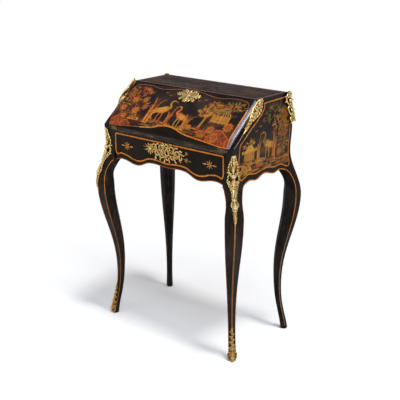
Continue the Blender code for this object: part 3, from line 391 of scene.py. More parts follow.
oak = wood_finish("oak", srgb(176, 138, 92), srgb(128, 92, 56), ALONG_OAK, 0.48)
rosewood = wood_finish("rosewood", srgb(120, 62, 36), srgb(58, 26, 17), ALONG_ROSEWOOD, 0.26)
leather = leather_finish("leather")
brass = metal_finish("brass", srgb(112, 98, 72), srgb(58, 46, 30), 0.30, 0.50, 130.0)
lock_steel = metal_finish("lock_steel", srgb(150, 150, 152), srgb(98, 96, 96), 0.30, 0.48, 160.0)
print("made", [m.name for m in (oak, rosewood, leather, brass, lock_steel)])

# %% [markdown]
# ## Gilt bronze
# Fire-gilt bronze is pale and bright where it is rubbed and brown in its hollows. Each casting carries
# an attribute called relief, from its height above the ground and from how far each point stands above
# its neighbours, and the colour follows it. It is near black in the hollows, partly patina and partly
# painted shade, and pale gold on the tops, partly rubbed metal and partly a painted highlight. A noise adds
# the uneven wear. The mounts on the sloping edges are less polished than the rest.

# %% Gilt bronze
GILT_SHADE_TONES = ((0.22, srgb(46, 28, 9)), (0.43, srgb(122, 86, 34)),
              (0.58, srgb(190, 152, 80)), (0.76, srgb(246, 224, 158)))
GILT_WORN = srgb(150, 108, 48)


def gilt_finish(name, with_relief, tone=(1.0, 1.0, 1.0), metal=1.0, matte=0.0):
    """Gilding whose tone follows the relief of a casting, with painted shade low and painted highlight high,
    or a noise where there is none.
    """
    material, nodes, shader, place = new_finish(name)
    wear = noise(nodes, place, 210.0, 5.0, 0.6)
    if with_relief:
        level = attribute(nodes, "relief")
    else:
        level = ramp(nodes, noise(nodes, place, 60.0), (0.3, 0.30), (0.7, 0.55))
    colour = ramp(nodes, level, *GILT_SHADE_TONES)
    worn = mixed(nodes, ramp(nodes, wear, (0.40, 0.0), (0.72, 0.45)), colour, GILT_WORN)
    nodes.links.new(mixed(nodes, 1.0, worn, tone, "MULTIPLY"), shader.inputs["Base Color"])
    nodes.links.new(ramp(nodes, wear, (0.3, 0.24 + matte), (0.75, 0.44 + matte)), shader.inputs["Roughness"])
    shader.inputs["Metallic"].default_value = metal
    bump(nodes, noise(nodes, place, 900.0, 3.0), 0.2, 0.0003, shader)
    return material


gilt_bronze = gilt_finish("gilt_bronze", True)
gilt_ground = gilt_finish("gilt_ground", False, (0.44, 0.37, 0.28))
gilt_shoe = gilt_finish("gilt_shoe", True, (0.64, 0.52, 0.38))
gilt_dull = gilt_finish("gilt_dull", True, (0.80, 0.70, 0.60))
gilt_matte = gilt_finish("gilt_matte", True, (1.0, 0.95, 0.88), 0.5, 0.16)
print("made", [m.name for m in (gilt_bronze, gilt_ground, gilt_shoe, gilt_dull, gilt_matte)])

# %% [markdown]
# ## Gold line
# The lines are painted in gold size and powder, warm orange where the varnish has darkened. They are
# partly metallic, with a noise for worn stretches. Down the legs they turn darker, which a share along
# the height shows better than a second line would.

# %% Gold line
LINE_FADE = (0.36, 0.50)


def gold_line_finish(name, bright, worn, low=None):
    """Patchy gold paint; it may turn to a darker colour down the legs."""
    material, nodes, shader, place = new_finish(name)
    wear = noise(nodes, place, 70.0, 6.0, 0.66)
    patches = ramp(nodes, wear, (0.38, 0.0), (0.72, 1.0))
    colour = mixed(nodes, patches, bright, worn)
    if low:
        darker_low = mixed(nodes, patches, darker(low, 1.15), darker(low, 0.75))
        colour = mixed(nodes, along_axis(nodes, place, "Z", LINE_FADE), darker_low, colour)
    nodes.links.new(colour, shader.inputs["Base Color"])
    nodes.links.new(ramp(nodes, wear, (0.3, 0.34), (0.7, 0.55)), shader.inputs["Roughness"])
    shader.inputs["Metallic"].default_value = 0.35
    shader.inputs["Specular IOR Level"].default_value = 0.2
    bump(nodes, noise(nodes, place, 700.0, 2.0), 0.10, 0.0003, shader)
    return material


gold_line = gold_line_finish("gold_line", srgb(214, 128, 30), srgb(160, 82, 20))
worn_line = gold_line_finish("worn_line", srgb(150, 84, 34), srgb(98, 50, 22))
edge_line = gold_line_finish("edge_line", srgb(134, 64, 22), srgb(74, 34, 15))
leg_gold = gold_line_finish("leg_gold", srgb(214, 128, 30), srgb(160, 82, 20), srgb(143, 108, 70))
arris_gold = gold_line_finish("arris_gold", srgb(182, 124, 58), srgb(126, 74, 32), srgb(126, 82, 38))
# A brighter gold for the left front leg's inner line: a painted lit copy of the line the right leg has
# darker.
inner_gold_lit = gold_line_finish("inner_gold_lit", srgb(206, 122, 42), srgb(146, 84, 34), srgb(125, 81, 44))
star_gold = gold_line_finish("star_gold", srgb(204, 146, 62), srgb(150, 92, 34))
rust_paint = gold_line_finish("rust_paint", srgb(186, 84, 42), srgb(132, 54, 30))
line_finishes = (gold_line, worn_line, edge_line, leg_gold, arris_gold, inner_gold_lit, star_gold, rust_paint)
print("made", [m.name for m in line_finishes])

# %% [markdown]
# ## Finishes on the frame
# Each node names its material slot in the record. The finish is put in the object's own slot, so the
# mesh stays as it was packed. The legs and the nosing, with its rubbed front that is also a painted
# highlight, have finishes of their own.

# %% Finishes on the frame
FINISH = {
    "black_lacquer": black_lacquer, "gilt_bronze": gilt_ground, "brass": brass, "lock_steel": lock_steel,
    "oak": oak, "rosewood": rosewood, "leather": leather,
}
OWN_FINISH = {
    "leg_front_left": leg_lacquer, "leg_front_right": leg_lacquer, "leg_back_left": back_leg_lacquer,
    "leg_back_right": back_leg_lacquer, "writing_board": nosing_lacquer, "front_rail": nosing_lacquer,
}
slot_of = {part["node"]: part["material_slot"] for part in frame["record"]["subparts"]}
for name, slot_name in slot_of.items():
    thing = frame["nodes"][name]
    if not thing.material_slots:
        thing.data.materials.append(None)
    for slot in thing.material_slots:
        slot.link = "OBJECT"
        slot.material = OWN_FINISH.get(name, FINISH[slot_name])
print("finished", len(slot_of), "nodes")

# %% [markdown]
# ## Floor finish
# A paper sweep is pale and slightly cloudy. Near the desk it takes the light and the shadow; farther off
# it fades into plain white, as a sweep that is lit from behind does. Only the camera and reflections see
# that white, so it adds no light to the desk.

# %% Floor finish
SWEEP = (0.6, 1.15)
floor_finish, nodes, shader, place = new_finish("floor")
nodes.links.new(ramp(nodes, noise(nodes, place, 3.0), (0.3, 0.655), (0.7, 0.67)), shader.inputs["Base Color"])
shader.inputs["Roughness"].default_value = 0.9
shader.inputs["Specular IOR Level"].default_value = 0.1
away = nodes.nodes.new("ShaderNodeVectorMath")
away.operation = "LENGTH"
nodes.links.new(place, away.inputs[0])
fade = share_between(nodes, away.outputs["Value"], SWEEP)
white = nodes.nodes.new("ShaderNodeEmission")
blend = nodes.nodes.new("ShaderNodeMixShader")
share = worked(nodes, "MULTIPLY", fade, worked(nodes, "MAXIMUM", *seen_rays(nodes)))
nodes.links.new(share, blend.inputs[0])
nodes.links.new(shader.outputs[0], blend.inputs[1])
nodes.links.new(white.outputs[0], blend.inputs[2])
nodes.links.new(blend.outputs[0], nodes.nodes["Material Output"].inputs["Surface"])
floor.data.materials.append(floor_finish)
print("floor: lit near the desk, white from", SWEEP[1], "m")

# %% [markdown]
# ## Reading the frame's edges
# Lines and mounts have to lie on the wood. The frame's own points say where that is: the outermost
# point of each ring of a leg is its arris, the next ones are the inner edges of its two outer faces, and
# the arris of a back leg gives the swell of the sides. Typed places would do as well, but they would go
# wrong with the first change to the frame.

# %% Edges read from the frame
SIDES = {"left": -1, "right": 1}
TOP_FACE, TOP_REACH = 0.9000, 0.2810
SAME_PLACE, SAME_FACE, FAR = 1e-4, 2e-4, 9.0


def mesh_points(thing):
    """The points of a mesh object."""
    points = np.empty(len(thing.data.vertices) * 3)
    thing.data.vertices.foreach_get("co", points)
    return points.reshape(-1, 3)


def node_points(name):
    """The points of a frame node."""
    return mesh_points(frame["nodes"][name])


def leg_edges(side, back):
    """Arris, inner edge of the front or back face, and inner edge of the side face, by height."""
    points = node_points(f"leg_{'back' if back > 0 else 'front'}_{'right' if side > 0 else 'left'}")
    edges = [[], [], []]
    for z in np.unique(np.round(points[:, 2], 4)):
        ring = points[np.abs(points[:, 2] - z) < SAME_PLACE]
        out_x, out_y = ring[:, 0] * side, ring[:, 1] * back
        edges[0].append(ring[np.argmax(out_x + out_y)])
        edges[1].append(ring[np.argmin(np.where(out_y > out_y.max() - SAME_FACE, out_x, FAR))])
        edges[2].append(ring[np.argmin(np.where(out_x > out_x.max() - SAME_FACE, out_y, FAR))])
    return [np.array(edge) for edge in edges]


legs = {(side, back): leg_edges(side, back) for side in (-1, 1) for back in (-1, 1)}
swell_z = np.concatenate((legs[1, 1][0][:, 2], [TOP_FACE]))
swell_x = np.concatenate((legs[1, 1][0][:, 0], [TOP_REACH]))
print("leg rings:", [len(edges[0]) for edges in legs.values()], "widest:", swell_x.max().round(4))

# %% [markdown]
# ## Surfaces to work on
# A decorator draws a design flat and then lays it on the wood. Here each face of the desk has a rule that
# takes the two directions of a flat design and its height above the wood, and gives the place in space.
# A Shrinkwrap modifier could do this too, but it knows nothing of a design that runs round an edge.

# %% Surfaces to work on
HINGE_Y, HINGE_Z = -0.1716, 0.7600
SLOPE = math.radians(38.5)
LID_FACE = 0.0158
ROLL_RUN, ROLL_DROP, ROLL_POWER = 0.042, 0.0123, 1.35
DRAWER_FACE = -0.1620


def side_reach(z):
    """How far a bombe side swells out at a height."""
    return np.interp(z, swell_z, swell_x)


def on_side(side):
    """Lays a flat design, y across and z up, on a bombe side."""
    return lambda y, z, h: np.column_stack((side * (side_reach(z) + h), y, z))


def on_drawer(x, z, h):
    """Lays a flat design on the front of the drawer."""
    return np.column_stack((x, DRAWER_FACE - h, z))


def on_top(x, y, h):
    """Lays a flat design on the top board."""
    return np.column_stack((x, y, TOP_FACE + h))


def on_slope(x, run, out):
    """Points by their distance up the slope from the hinge line and their distance out from it."""
    y = HINGE_Y + run * math.cos(SLOPE) - out * math.sin(SLOPE)
    z = HINGE_Z + run * math.sin(SLOPE) + out * math.cos(SLOPE)
    return np.column_stack((x, y, z))


def slope_place(points):
    """The way back: the distance of points up the slope, and out from it."""
    y, z = points[:, 1] - HINGE_Y, points[:, 2] - HINGE_Z
    return y * math.cos(SLOPE) + z * math.sin(SLOPE), z * math.cos(SLOPE) - y * math.sin(SLOPE)


def lid_level(run):
    """How far the lid's face stands out from the slope; its lower edge is rolled."""
    return LID_FACE - ROLL_DROP * np.clip((ROLL_RUN - run) / ROLL_RUN, 0, 1) ** ROLL_POWER


def on_lid(x, run, h):
    """Lays a flat design on the lid."""
    return on_slope(x, run, lid_level(run) + h)


print("surfaces: sides, drawer, top and lid")

# %% [markdown]
# ## Strokes
# A painted line and a cast scroll are both strokes: a path with a width that swells and tapers. A curve
# with a round bevel gives a stroke, and its points' radii give the taper. Many strokes share one curve,
# which becomes a mesh, is pressed flat, and is laid on its surface by moving its points.

# %% Helpers for strokes
CURVE_STEPS = 16
WELD = 1e-6


def smooth_path(points, step, closed=False):
    """An even, smooth path through a few points."""
    points = np.asarray(points, float)
    if points.shape[1] == 2:
        points = np.column_stack((points, np.zeros(len(points))))
    count = len(points)
    dense = []
    for i in range(count if closed else count - 1):
        pick = [i - 1, i, i + 1, i + 2]
        a, b, c, d = (points[j % count] if closed else points[min(max(j, 0), count - 1)] for j in pick)
        for t in np.linspace(0, 1, CURVE_STEPS, endpoint=False):
            dense.append(0.5 * (2 * b + (c - a) * t + (2 * a - 5 * b + 4 * c - d) * t ** 2
                                + (3 * b - a - 3 * c + d) * t ** 3))
    dense.append(points[0] if closed else points[-1])
    dense = np.array(dense)
    run = np.concatenate(([0], np.cumsum(np.linalg.norm(np.diff(dense, axis=0), axis=1))))
    stops = np.linspace(0, run[-1], max(int(run[-1] / step), 3) + 1)
    if closed:
        stops = stops[:-1]
    return np.column_stack([np.interp(stops, run, dense[:, k]) for k in range(3)])


def mirrored(points):
    """A half outline, from its right end to the middle, made whole by its mirror image."""
    return points + [(-x, y) for x, y in points[::-1] if abs(x) > 0]


def direction(angle):
    """A unit step at an angle in the flat."""
    return np.array((math.cos(math.radians(angle)), math.sin(math.radians(angle)), 0.0))


def strokes_mesh(name, strokes, roundness=2, twist="Z_UP"):
    """One mesh from many strokes, each a path, its radii and whether it closes on itself."""
    bpy.ops.object.select_all(action="DESELECT")
    bpy.ops.curve.primitive_nurbs_path_add()
    thing = bpy.context.object
    thing.name = name
    curve = thing.data
    curve.splines.clear()
    curve.dimensions = "3D"
    curve.twist_mode = twist
    curve.bevel_depth = 1.0
    curve.bevel_resolution = roundness
    curve.use_fill_caps = True
    for path, radii, closed in strokes:
        spline = curve.splines.new("POLY")
        spline.points.add(len(path) - 1)
        spline.points.foreach_set("co", np.column_stack((path, np.ones(len(path)))).ravel())
        spline.points.foreach_set("radius", np.broadcast_to(radii, len(path)).astype(float).ravel().copy())
        spline.use_cyclic_u = closed
    bpy.ops.object.convert(target="MESH")
    return bpy.context.object


print("helpers for strokes are ready")

# %% [markdown]
# ## Finishing a piece
# Every piece added to the frame ends the same way: doubled points are merged, the faces are turned
# outwards, edges under an angle are smoothed, and the piece gets its finish and the body it moves with.
# One function does this, so that no piece is left half done.

# %% Helpers for pieces


def move_points(thing, points):
    """Puts the points of a mesh object in new places."""
    thing.data.vertices.foreach_set("co", np.ascontiguousarray(points).ravel())
    thing.data.update()


def face_centres(thing):
    """The middles of the faces of a mesh object."""
    centres = np.empty(len(thing.data.polygons) * 3)
    thing.data.polygons.foreach_get("center", centres)
    return centres.reshape(-1, 3)


def apply_modifier(thing, kind, **settings):
    """Adds a modifier with its settings and applies it."""
    modifier = thing.modifiers.new(kind.lower(), kind)
    for key, value in settings.items():
        setattr(modifier, key, value)
    bpy.ops.object.modifier_apply(modifier=modifier.name)


def finish_piece(thing, material, body, angle=50):
    """Closes and smooths a mesh, gives it its finish and joins it to its body."""
    bpy.ops.object.select_all(action="DESELECT")
    thing.select_set(True)
    bpy.context.view_layer.objects.active = thing
    bpy.ops.object.mode_set(mode="EDIT")
    bpy.ops.mesh.select_all(action="SELECT")
    bpy.ops.mesh.remove_doubles(threshold=WELD)
    bpy.ops.mesh.normals_make_consistent(inside=False)
    bpy.ops.object.mode_set(mode="OBJECT")
    bpy.ops.object.shade_smooth_by_angle(angle=math.radians(angle))
    thing.data.materials.clear()
    thing.data.materials.append(material)
    thing.data.name = thing.name
    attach(thing, body)
    print(thing.name, len(thing.data.polygons), "faces on", body)
    return thing


def painted_lines(name, paths, width, surface, material, body, rise=0.5 * MM):
    """Flat lines of one width on a surface: paths in its own two directions, some of them closed."""
    thing = strokes_mesh(name, [(path, width / 2, closed) for path, closed in paths])
    points = mesh_points(thing)
    points[:, 2] *= rise / (width / 2)
    move_points(thing, surface(*points.T))
    return finish_piece(thing, material, body)


print("helpers for pieces are ready")

# %% [markdown]
# ## Gold lines on the drawer and the lid
# Each panel has a cartouche, a closed line with a waved lower side. Half an outline is written down and
# mirrored, so both halves match. On the lid the upper part of the line is worn thin: the closed path is
# cut in two where the wear begins, and each part gets its own width and finish.

# %% Gold lines on the drawer and the lid
LINE_STEP = 4 * MM
BORDER_WIDTH, FAINT_WIDTH = 4.6 * MM, 3.2 * MM
FAINT_RISE = 0.35 * MM
WEAR_FROM, WEAR_TILT, WEAR_CORNER = 0.160, 0.45, 0.2

DRAWER_HALF = [
    (0.2505, 0.715), (0.2505, 0.690), (0.2505, 0.668), (0.2440, 0.6555), (0.2330, 0.6590),
    (0.2190, 0.6615), (0.1900, 0.6570), (0.1650, 0.6490), (0.1400, 0.6462), (0.1150, 0.6520),
    (0.0850, 0.6640), (0.0450, 0.6650), (0.0, 0.6612),
]
DRAWER_TOP = [
    (-0.2495, 0.7275), (-0.2450, 0.7320), (-0.2300, 0.7322), (0.0, 0.7322), (0.2300, 0.7322),
    (0.2450, 0.7320), (0.2495, 0.7275),
]
drawer_border = smooth_path(mirrored(DRAWER_HALF) + DRAWER_TOP, LINE_STEP, True)
painted_lines("drawer_border", [(drawer_border, True)], BORDER_WIDTH, on_drawer, gold_line, "drawer")

LID_HALF = [
    (0.2690, 0.100), (0.2700, 0.040), (0.2705, 0.006), (0.2640, 0.0030), (0.2300, 0.0040),
    (0.1900, 0.0080), (0.1350, 0.0130), (0.0880, 0.0175), (0.0600, 0.0230), (0.0340, 0.0310),
    (0.0, 0.0350),
]
LID_TOP = [
    (-0.2680, 0.150), (-0.2630, 0.172), (-0.2500, 0.1870), (-0.2200, 0.1930), (-0.1800, 0.1925),
    (-0.1350, 0.1860), (-0.0900, 0.1900), (-0.0450, 0.1985), (0.0, 0.2005),
]
lid_outline = mirrored(LID_HALF) + LID_TOP + [(-x, run) for x, run in LID_TOP[-2::-1]]
lid_border = smooth_path(lid_outline, LINE_STEP, True)
wear_line = WEAR_FROM + WEAR_TILT * np.minimum(lid_border[:, 0] - WEAR_CORNER, 0)
under = lid_border[:, 1] < wear_line
start = int(np.argmax(under & ~np.roll(under, 1)))
around = np.roll(lid_border, -start, 0)
bright, faint = around[:under.sum() + 1], np.vstack((around[under.sum():], around[:1]))
painted_lines("lid_border", [(bright, False)], BORDER_WIDTH, on_lid, gold_line, "lid")
painted_lines("lid_border_faint", [(faint, False)], FAINT_WIDTH, on_lid, worn_line, "lid", FAINT_RISE)

# %% [markdown]
# ## Gold lines on the sides and the top
# The cartouche of a side follows the slope of the lid, so it isn't symmetrical and is written down whole.
# The line on the top is thinner and duller.

# %% Gold lines on the sides and the top
SIDE_BORDER_WIDTH, TOP_BORDER_WIDTH = 3.9 * MM, 3.0 * MM

SIDE_OUTLINE = [
    (0.0150, 0.8818), (0.0165, 0.8740), (0.0107, 0.8640), (-0.0056, 0.8500), (-0.0360, 0.8320),
    (-0.0760, 0.8105), (-0.1180, 0.7810), (-0.1325, 0.7690), (-0.1345, 0.750), (-0.134, 0.720),
    (-0.134, 0.690), (-0.134, 0.665), (-0.1275, 0.652), (-0.112, 0.656), (-0.086, 0.663),
    (-0.060, 0.659), (-0.037, 0.659), (0.009, 0.664), (0.042, 0.660), (0.060, 0.657),
    (0.099, 0.658), (0.130, 0.645), (0.147, 0.650), (0.148, 0.680), (0.148, 0.740),
    (0.148, 0.800), (0.148, 0.868), (0.1430, 0.8835), (0.110, 0.8840), (0.050, 0.8832),
    (0.022, 0.8826),
]
side_border = smooth_path(SIDE_OUTLINE, LINE_STEP, True)
for hand, side in SIDES.items():
    painted_lines(f"side_border_{hand}", [(side_border, True)], SIDE_BORDER_WIDTH, on_side(side),
                  gold_line, "carcass")

TOP_HALF = [
    (0.2690, 0.060), (0.2690, 0.002), (0.2660, -0.010), (0.2500, -0.0130), (0.1500, -0.0130),
    (0.0, -0.0130),
]
TOP_BACK = [(-0.2690, 0.132), (-0.2650, 0.1400), (-0.2500, 0.1415), (0.0, 0.1415)]
top_outline = mirrored(TOP_HALF) + TOP_BACK + [(-x, y) for x, y in TOP_BACK[-2::-1]]
top_border = smooth_path(top_outline, LINE_STEP, True)
painted_lines("top_border", [(top_border, True)], TOP_BORDER_WIDTH, on_top, worn_line, "carcass", FAINT_RISE)

# %% [markdown]
# ## Edge lines
# The line along the shaped lower edges is read from the frame: the lowest point of the front face at
# each place. On the legs it turns into a bead along the edges, half sunk in the wood, because a flat line
# would have to turn with every twist of the leg.

# %% Edge lines
EDGE_WIDTH, EDGE_INSET, EDGE_TOP = 3.2 * MM, 2.0 * MM, 0.66
NEAR_SIDE = 1.5 * MM
BEAD, ARRIS_BEAD, BEAD_STEP = 1.4 * MM, 2.3 * MM, 8 * MM
BACK_BEAD = 1.2 * BEAD
LEG_LINE, BACK_LINE, ARRIS_LINE = (0.016, 0.640), (0.010, 0.634), (0.108, 0.530)
BACK_SHIFT = (0, 2.2 * MM, 0)
# One painted line on both front legs, in two copies: brighter gold on the left, a painted lit copy, and the
# darker edge line on the right, a painted shaded copy.
FRONT_LINE_LIT_SHADED = {"left": inner_gold_lit, "right": edge_line}


def lower_edge(points, across):
    """The lowest point of a face at each place across it."""
    places = np.unique(np.round(points[:, across], 4))
    lows = np.array([points[np.abs(points[:, across] - p) < SAME_PLACE, 2].min() for p in places])
    keep = lows < EDGE_TOP
    return np.column_stack((places[keep], lows[keep] + EDGE_INSET))


def leg_bead(name, edge, ends, radius, material):
    """A bead along an edge of a leg, between two heights."""
    part = edge[(edge[:, 2] > ends[0]) & (edge[:, 2] < ends[1])]
    thing = strokes_mesh(name, [(smooth_path(part, BEAD_STEP), radius, False)], 1, "MINIMUM")
    return finish_piece(thing, material, "carcass")


front = node_points("drawer_front")
apron = smooth_path(lower_edge(front[front[:, 1] < DRAWER_FACE + SAME_PLACE], 0), LINE_STEP)
painted_lines("apron_line", [(apron, False)], EDGE_WIDTH, on_drawer, worn_line, "drawer")
panel = node_points("side_panel_right")
side_low = smooth_path(lower_edge(panel[panel[:, 0] > side_reach(panel[:, 2]) - NEAR_SIDE], 1), LINE_STEP)
for hand, side in SIDES.items():
    painted_lines(f"side_edge_line_{hand}", [(side_low, False)], EDGE_WIDTH, on_side(side), gold_line,
                  "carcass")
for hand, side in SIDES.items():
    arris, front_edge, side_edge = legs[side, -1]
    leg_bead(f"leg_line_front_{hand}", front_edge, LEG_LINE, BEAD, FRONT_LINE_LIT_SHADED[hand])
    leg_bead(f"leg_line_side_{hand}", side_edge, LEG_LINE, BEAD, edge_line)
    leg_bead(f"leg_line_back_{hand}", legs[side, 1][2] + BACK_SHIFT, BACK_LINE, BACK_BEAD, leg_gold)
    leg_bead(f"arris_line_{hand}", arris, ARRIS_LINE, ARRIS_BEAD, arris_gold)

# %% [markdown]
# ## The lid's chamfered sides
# On the real lid the long upper edges at the sides are planed to a broad chamfer, which catches the
# light; on the right one a blue-grey painted highlight in the chamfer's colour stands for that light. The
# frame's lid is square there. Bevel weights on those edges could plane them; here no edge has to be
# picked by hand. A copy of the lid is merged, cut along each side by bisect, and the outermost points of
# its upper face are pressed down.

# %% Lid with chamfered sides
LID_HALF_WIDTH = node_points("lid_board")[:, 0].max()
CHAMFER_WIDTH, CHAMFER_SHARE = 10.5 * MM, 0.42
UPPER_DEPTH, LOWER_FACE = 1.6 * MM, 3 * MM
INNER_EDGE = LID_HALF_WIDTH - CHAMFER_WIDTH

bpy.ops.object.select_all(action="DESELECT")
bpy.ops.mesh.primitive_cube_add()
lid_panel = bpy.context.object
lid_panel.name = "lid_panel"
lid_panel.data = frame["nodes"]["lid_board"].data.copy()
bpy.ops.object.mode_set(mode="EDIT")
bpy.ops.mesh.select_all(action="SELECT")
bpy.ops.mesh.remove_doubles(threshold=WELD)
for cut in (-INNER_EDGE, INNER_EDGE):
    bpy.ops.mesh.select_all(action="SELECT")
    bpy.ops.mesh.bisect(plane_co=(cut, 0, 0), plane_no=(1, 0, 0))
bpy.ops.object.mode_set(mode="OBJECT")
points = mesh_points(lid_panel)
run, out = slope_place(points)
face = lid_level(run)
inset = np.clip((np.abs(points[:, 0]) - INNER_EDGE) / CHAMFER_WIDTH, 0, 1)
edge = (inset > 0.5) & (out > face - UPPER_DEPTH)
drop = edge * (out - face * (1 - CHAMFER_SHARE * inset))
points += np.outer(drop, (0, math.sin(SLOPE), -math.cos(SLOPE)))
move_points(lid_panel, points)
print("chamfered points:", int(edge.sum()), "of", len(points))
finish_piece(lid_panel, black_lacquer, "lid", 25)
# The right chamfer's faces get the painted highlight; the left chamfer stays black.
lid_panel.data.materials.append(lid_chamfer_highlight)
centres = face_centres(lid_panel)
highlighted_chamfer = (centres[:, 0] > INNER_EDGE) & (slope_place(centres)[1] > LOWER_FACE)
lid_panel.data.polygons.foreach_set("material_index", highlighted_chamfer.astype(np.int32))
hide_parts("lid_board")

# %% [markdown]
# ## Tooled leather
# A bookbinder's roll has pressed a double gold line round the writing leather, with a stamp in each corner.
# The lines could be cut into the leather, but they are so shallow that thin gold strokes on it look the
# same. The leather's own points give the level.

# %% Tooled leather
TOOLING_INSETS = (0.006, 0.011)
TOOLING_WIDTH, TOOLING_RISE, TOOLING_POINTS = 1.1 * MM, 0.25 * MM, 24
STAMP_INSET, STAMP_REACH = 0.024, 0.008

leather_points = node_points("lid_leather")
leather_run, leather_out = slope_place(leather_points)
leather_x = leather_points[:, 0].max()


def on_leather(x, run, h):
    """Lays a flat design on the leather, which faces down when the lid is closed."""
    return on_slope(x, run, leather_out.min() - h)


tooling = []
for inset in TOOLING_INSETS:
    wide, low, high = leather_x - inset, leather_run.min() + inset, leather_run.max() - inset
    corners = np.array(((wide, low, 0), (wide, high, 0), (-wide, high, 0), (-wide, low, 0)))
    ends = zip(corners, np.roll(corners, -1, 0))
    tooling.append((np.vstack([np.linspace(a, b, TOOLING_POINTS, endpoint=False) for a, b in ends]), True))
for side in SIDES.values():
    for run in (leather_run.min() + STAMP_INSET, leather_run.max() - STAMP_INSET):
        middle = np.array((side * (leather_x - STAMP_INSET), run, 0))
        for angle in (0, 45, 90, 135):
            arm = direction(angle) * STAMP_REACH
            tooling.append((np.array((middle - arm, middle, middle + arm)), False))
painted_lines("leather_tooling", tooling, TOOLING_WIDTH, on_leather, star_gold, "lid", TOOLING_RISE)

# %% [markdown]
# ## Rubbed edges and painted highlights
# Hands and sleeves have rubbed the sloping edges of the sides, and the edges of the lid beside them, down
# to a pale line; that pale colour also stands for the thin highlight along each edge, a painted highlight.
# On the lid only the right edge is pale, a painted highlight; the left edge stays black. A mask in the
# lacquer could show it, but a thin bead along each edge is crisper and also rounds the edge.

# %% Rubbed edges and painted highlights
EDGE_BEAD_RADIUS = 1.0 * MM
SLOPE_EDGE, SLOPE_EDGE_POINTS, SLOPE_EDGE_INSET = (0.008, 0.125), 14, 0.4 * MM
LID_EDGE, LID_EDGE_POINTS, LID_EDGE_INSET, LID_EDGE_RISE = (0.010, 0.170), 30, 1.0 * MM, 0.45 * MM
# The right edge of the lid gets a painted highlight; the left one stays plain black lacquer.
LID_EDGE_HIGHLIGHT = {"left": black_lacquer, "right": lid_edge_highlight}


def edge_bead(name, path, material, body):
    """A thin bead along an edge: wear mixed with a painted highlight, or plain lacquer."""
    thing = strokes_mesh(name, [(path, EDGE_BEAD_RADIUS, False)], 2, "MINIMUM")
    return finish_piece(thing, material, body)


for hand, side in SIDES.items():
    run = np.linspace(*SLOPE_EDGE, SLOPE_EDGE_POINTS)
    path = on_slope(np.zeros(len(run)), run, SLOPE_EDGE_INSET)
    path[:, 0] = side * (side_reach(path[:, 2]) - SLOPE_EDGE_INSET)
    edge_bead(f"worn_edge_highlight_{hand}", path, worn_edge_highlight, "carcass")
    run = np.linspace(*LID_EDGE, LID_EDGE_POINTS)
    level = lid_level(run) * (1 - CHAMFER_SHARE) + LID_EDGE_RISE
    path = on_slope(np.full(len(run), side * (LID_HALF_WIDTH - LID_EDGE_INSET)), run, level)
    edge_bead(f"lid_edge_{hand}", path, LID_EDGE_HIGHLIGHT[hand], "lid")

# %% [markdown]
# ## Painted panels
# The lid, the sides and the top are painted in gold, orange and rust on the black ground: flowers, reeds,
# cranes, open halls, trees, rocks, grass and far birds. A picture could be an image, but an image can't
# be written in a lesson. Here each panel is a fine sheet of points, a brush is a rule that tells how near
# each point is to a stroke, and the colours are kept in the sheet's own colour attribute. Raised lacquer
# is shown too: what is painted stands a little above the ground.

# %% Brushes
GOLD, PALE_GOLD, OCHRE = srgb(196, 128, 38), srgb(214, 166, 82), srgb(150, 102, 40)
ORANGE, RUST, DEEP_RUST = srgb(186, 92, 32), srgb(136, 58, 32), srgb(88, 40, 26)
OLIVE, BROWN, GROUND = srgb(104, 90, 38), srgb(70, 46, 30), srgb(18, 14, 14)
TONE_RANGE = (0.82, 1.14)
BRUSH_EDGE, BRUSH_MARGIN = 1.3, 2


def inside_outline(x, y, corners):
    """Which points lie inside a closed outline, by counting the sides to the right of each."""
    inside = np.zeros(len(x), bool)
    for (ax, ay), (bx, by) in zip(corners, np.roll(corners, -1, axis=0)):
        crosses = (ay > y) != (by > y)
        inside ^= crosses & (x < ax + (y - ay) * (bx - ax) / (by - ay + 1e-12))
    return inside


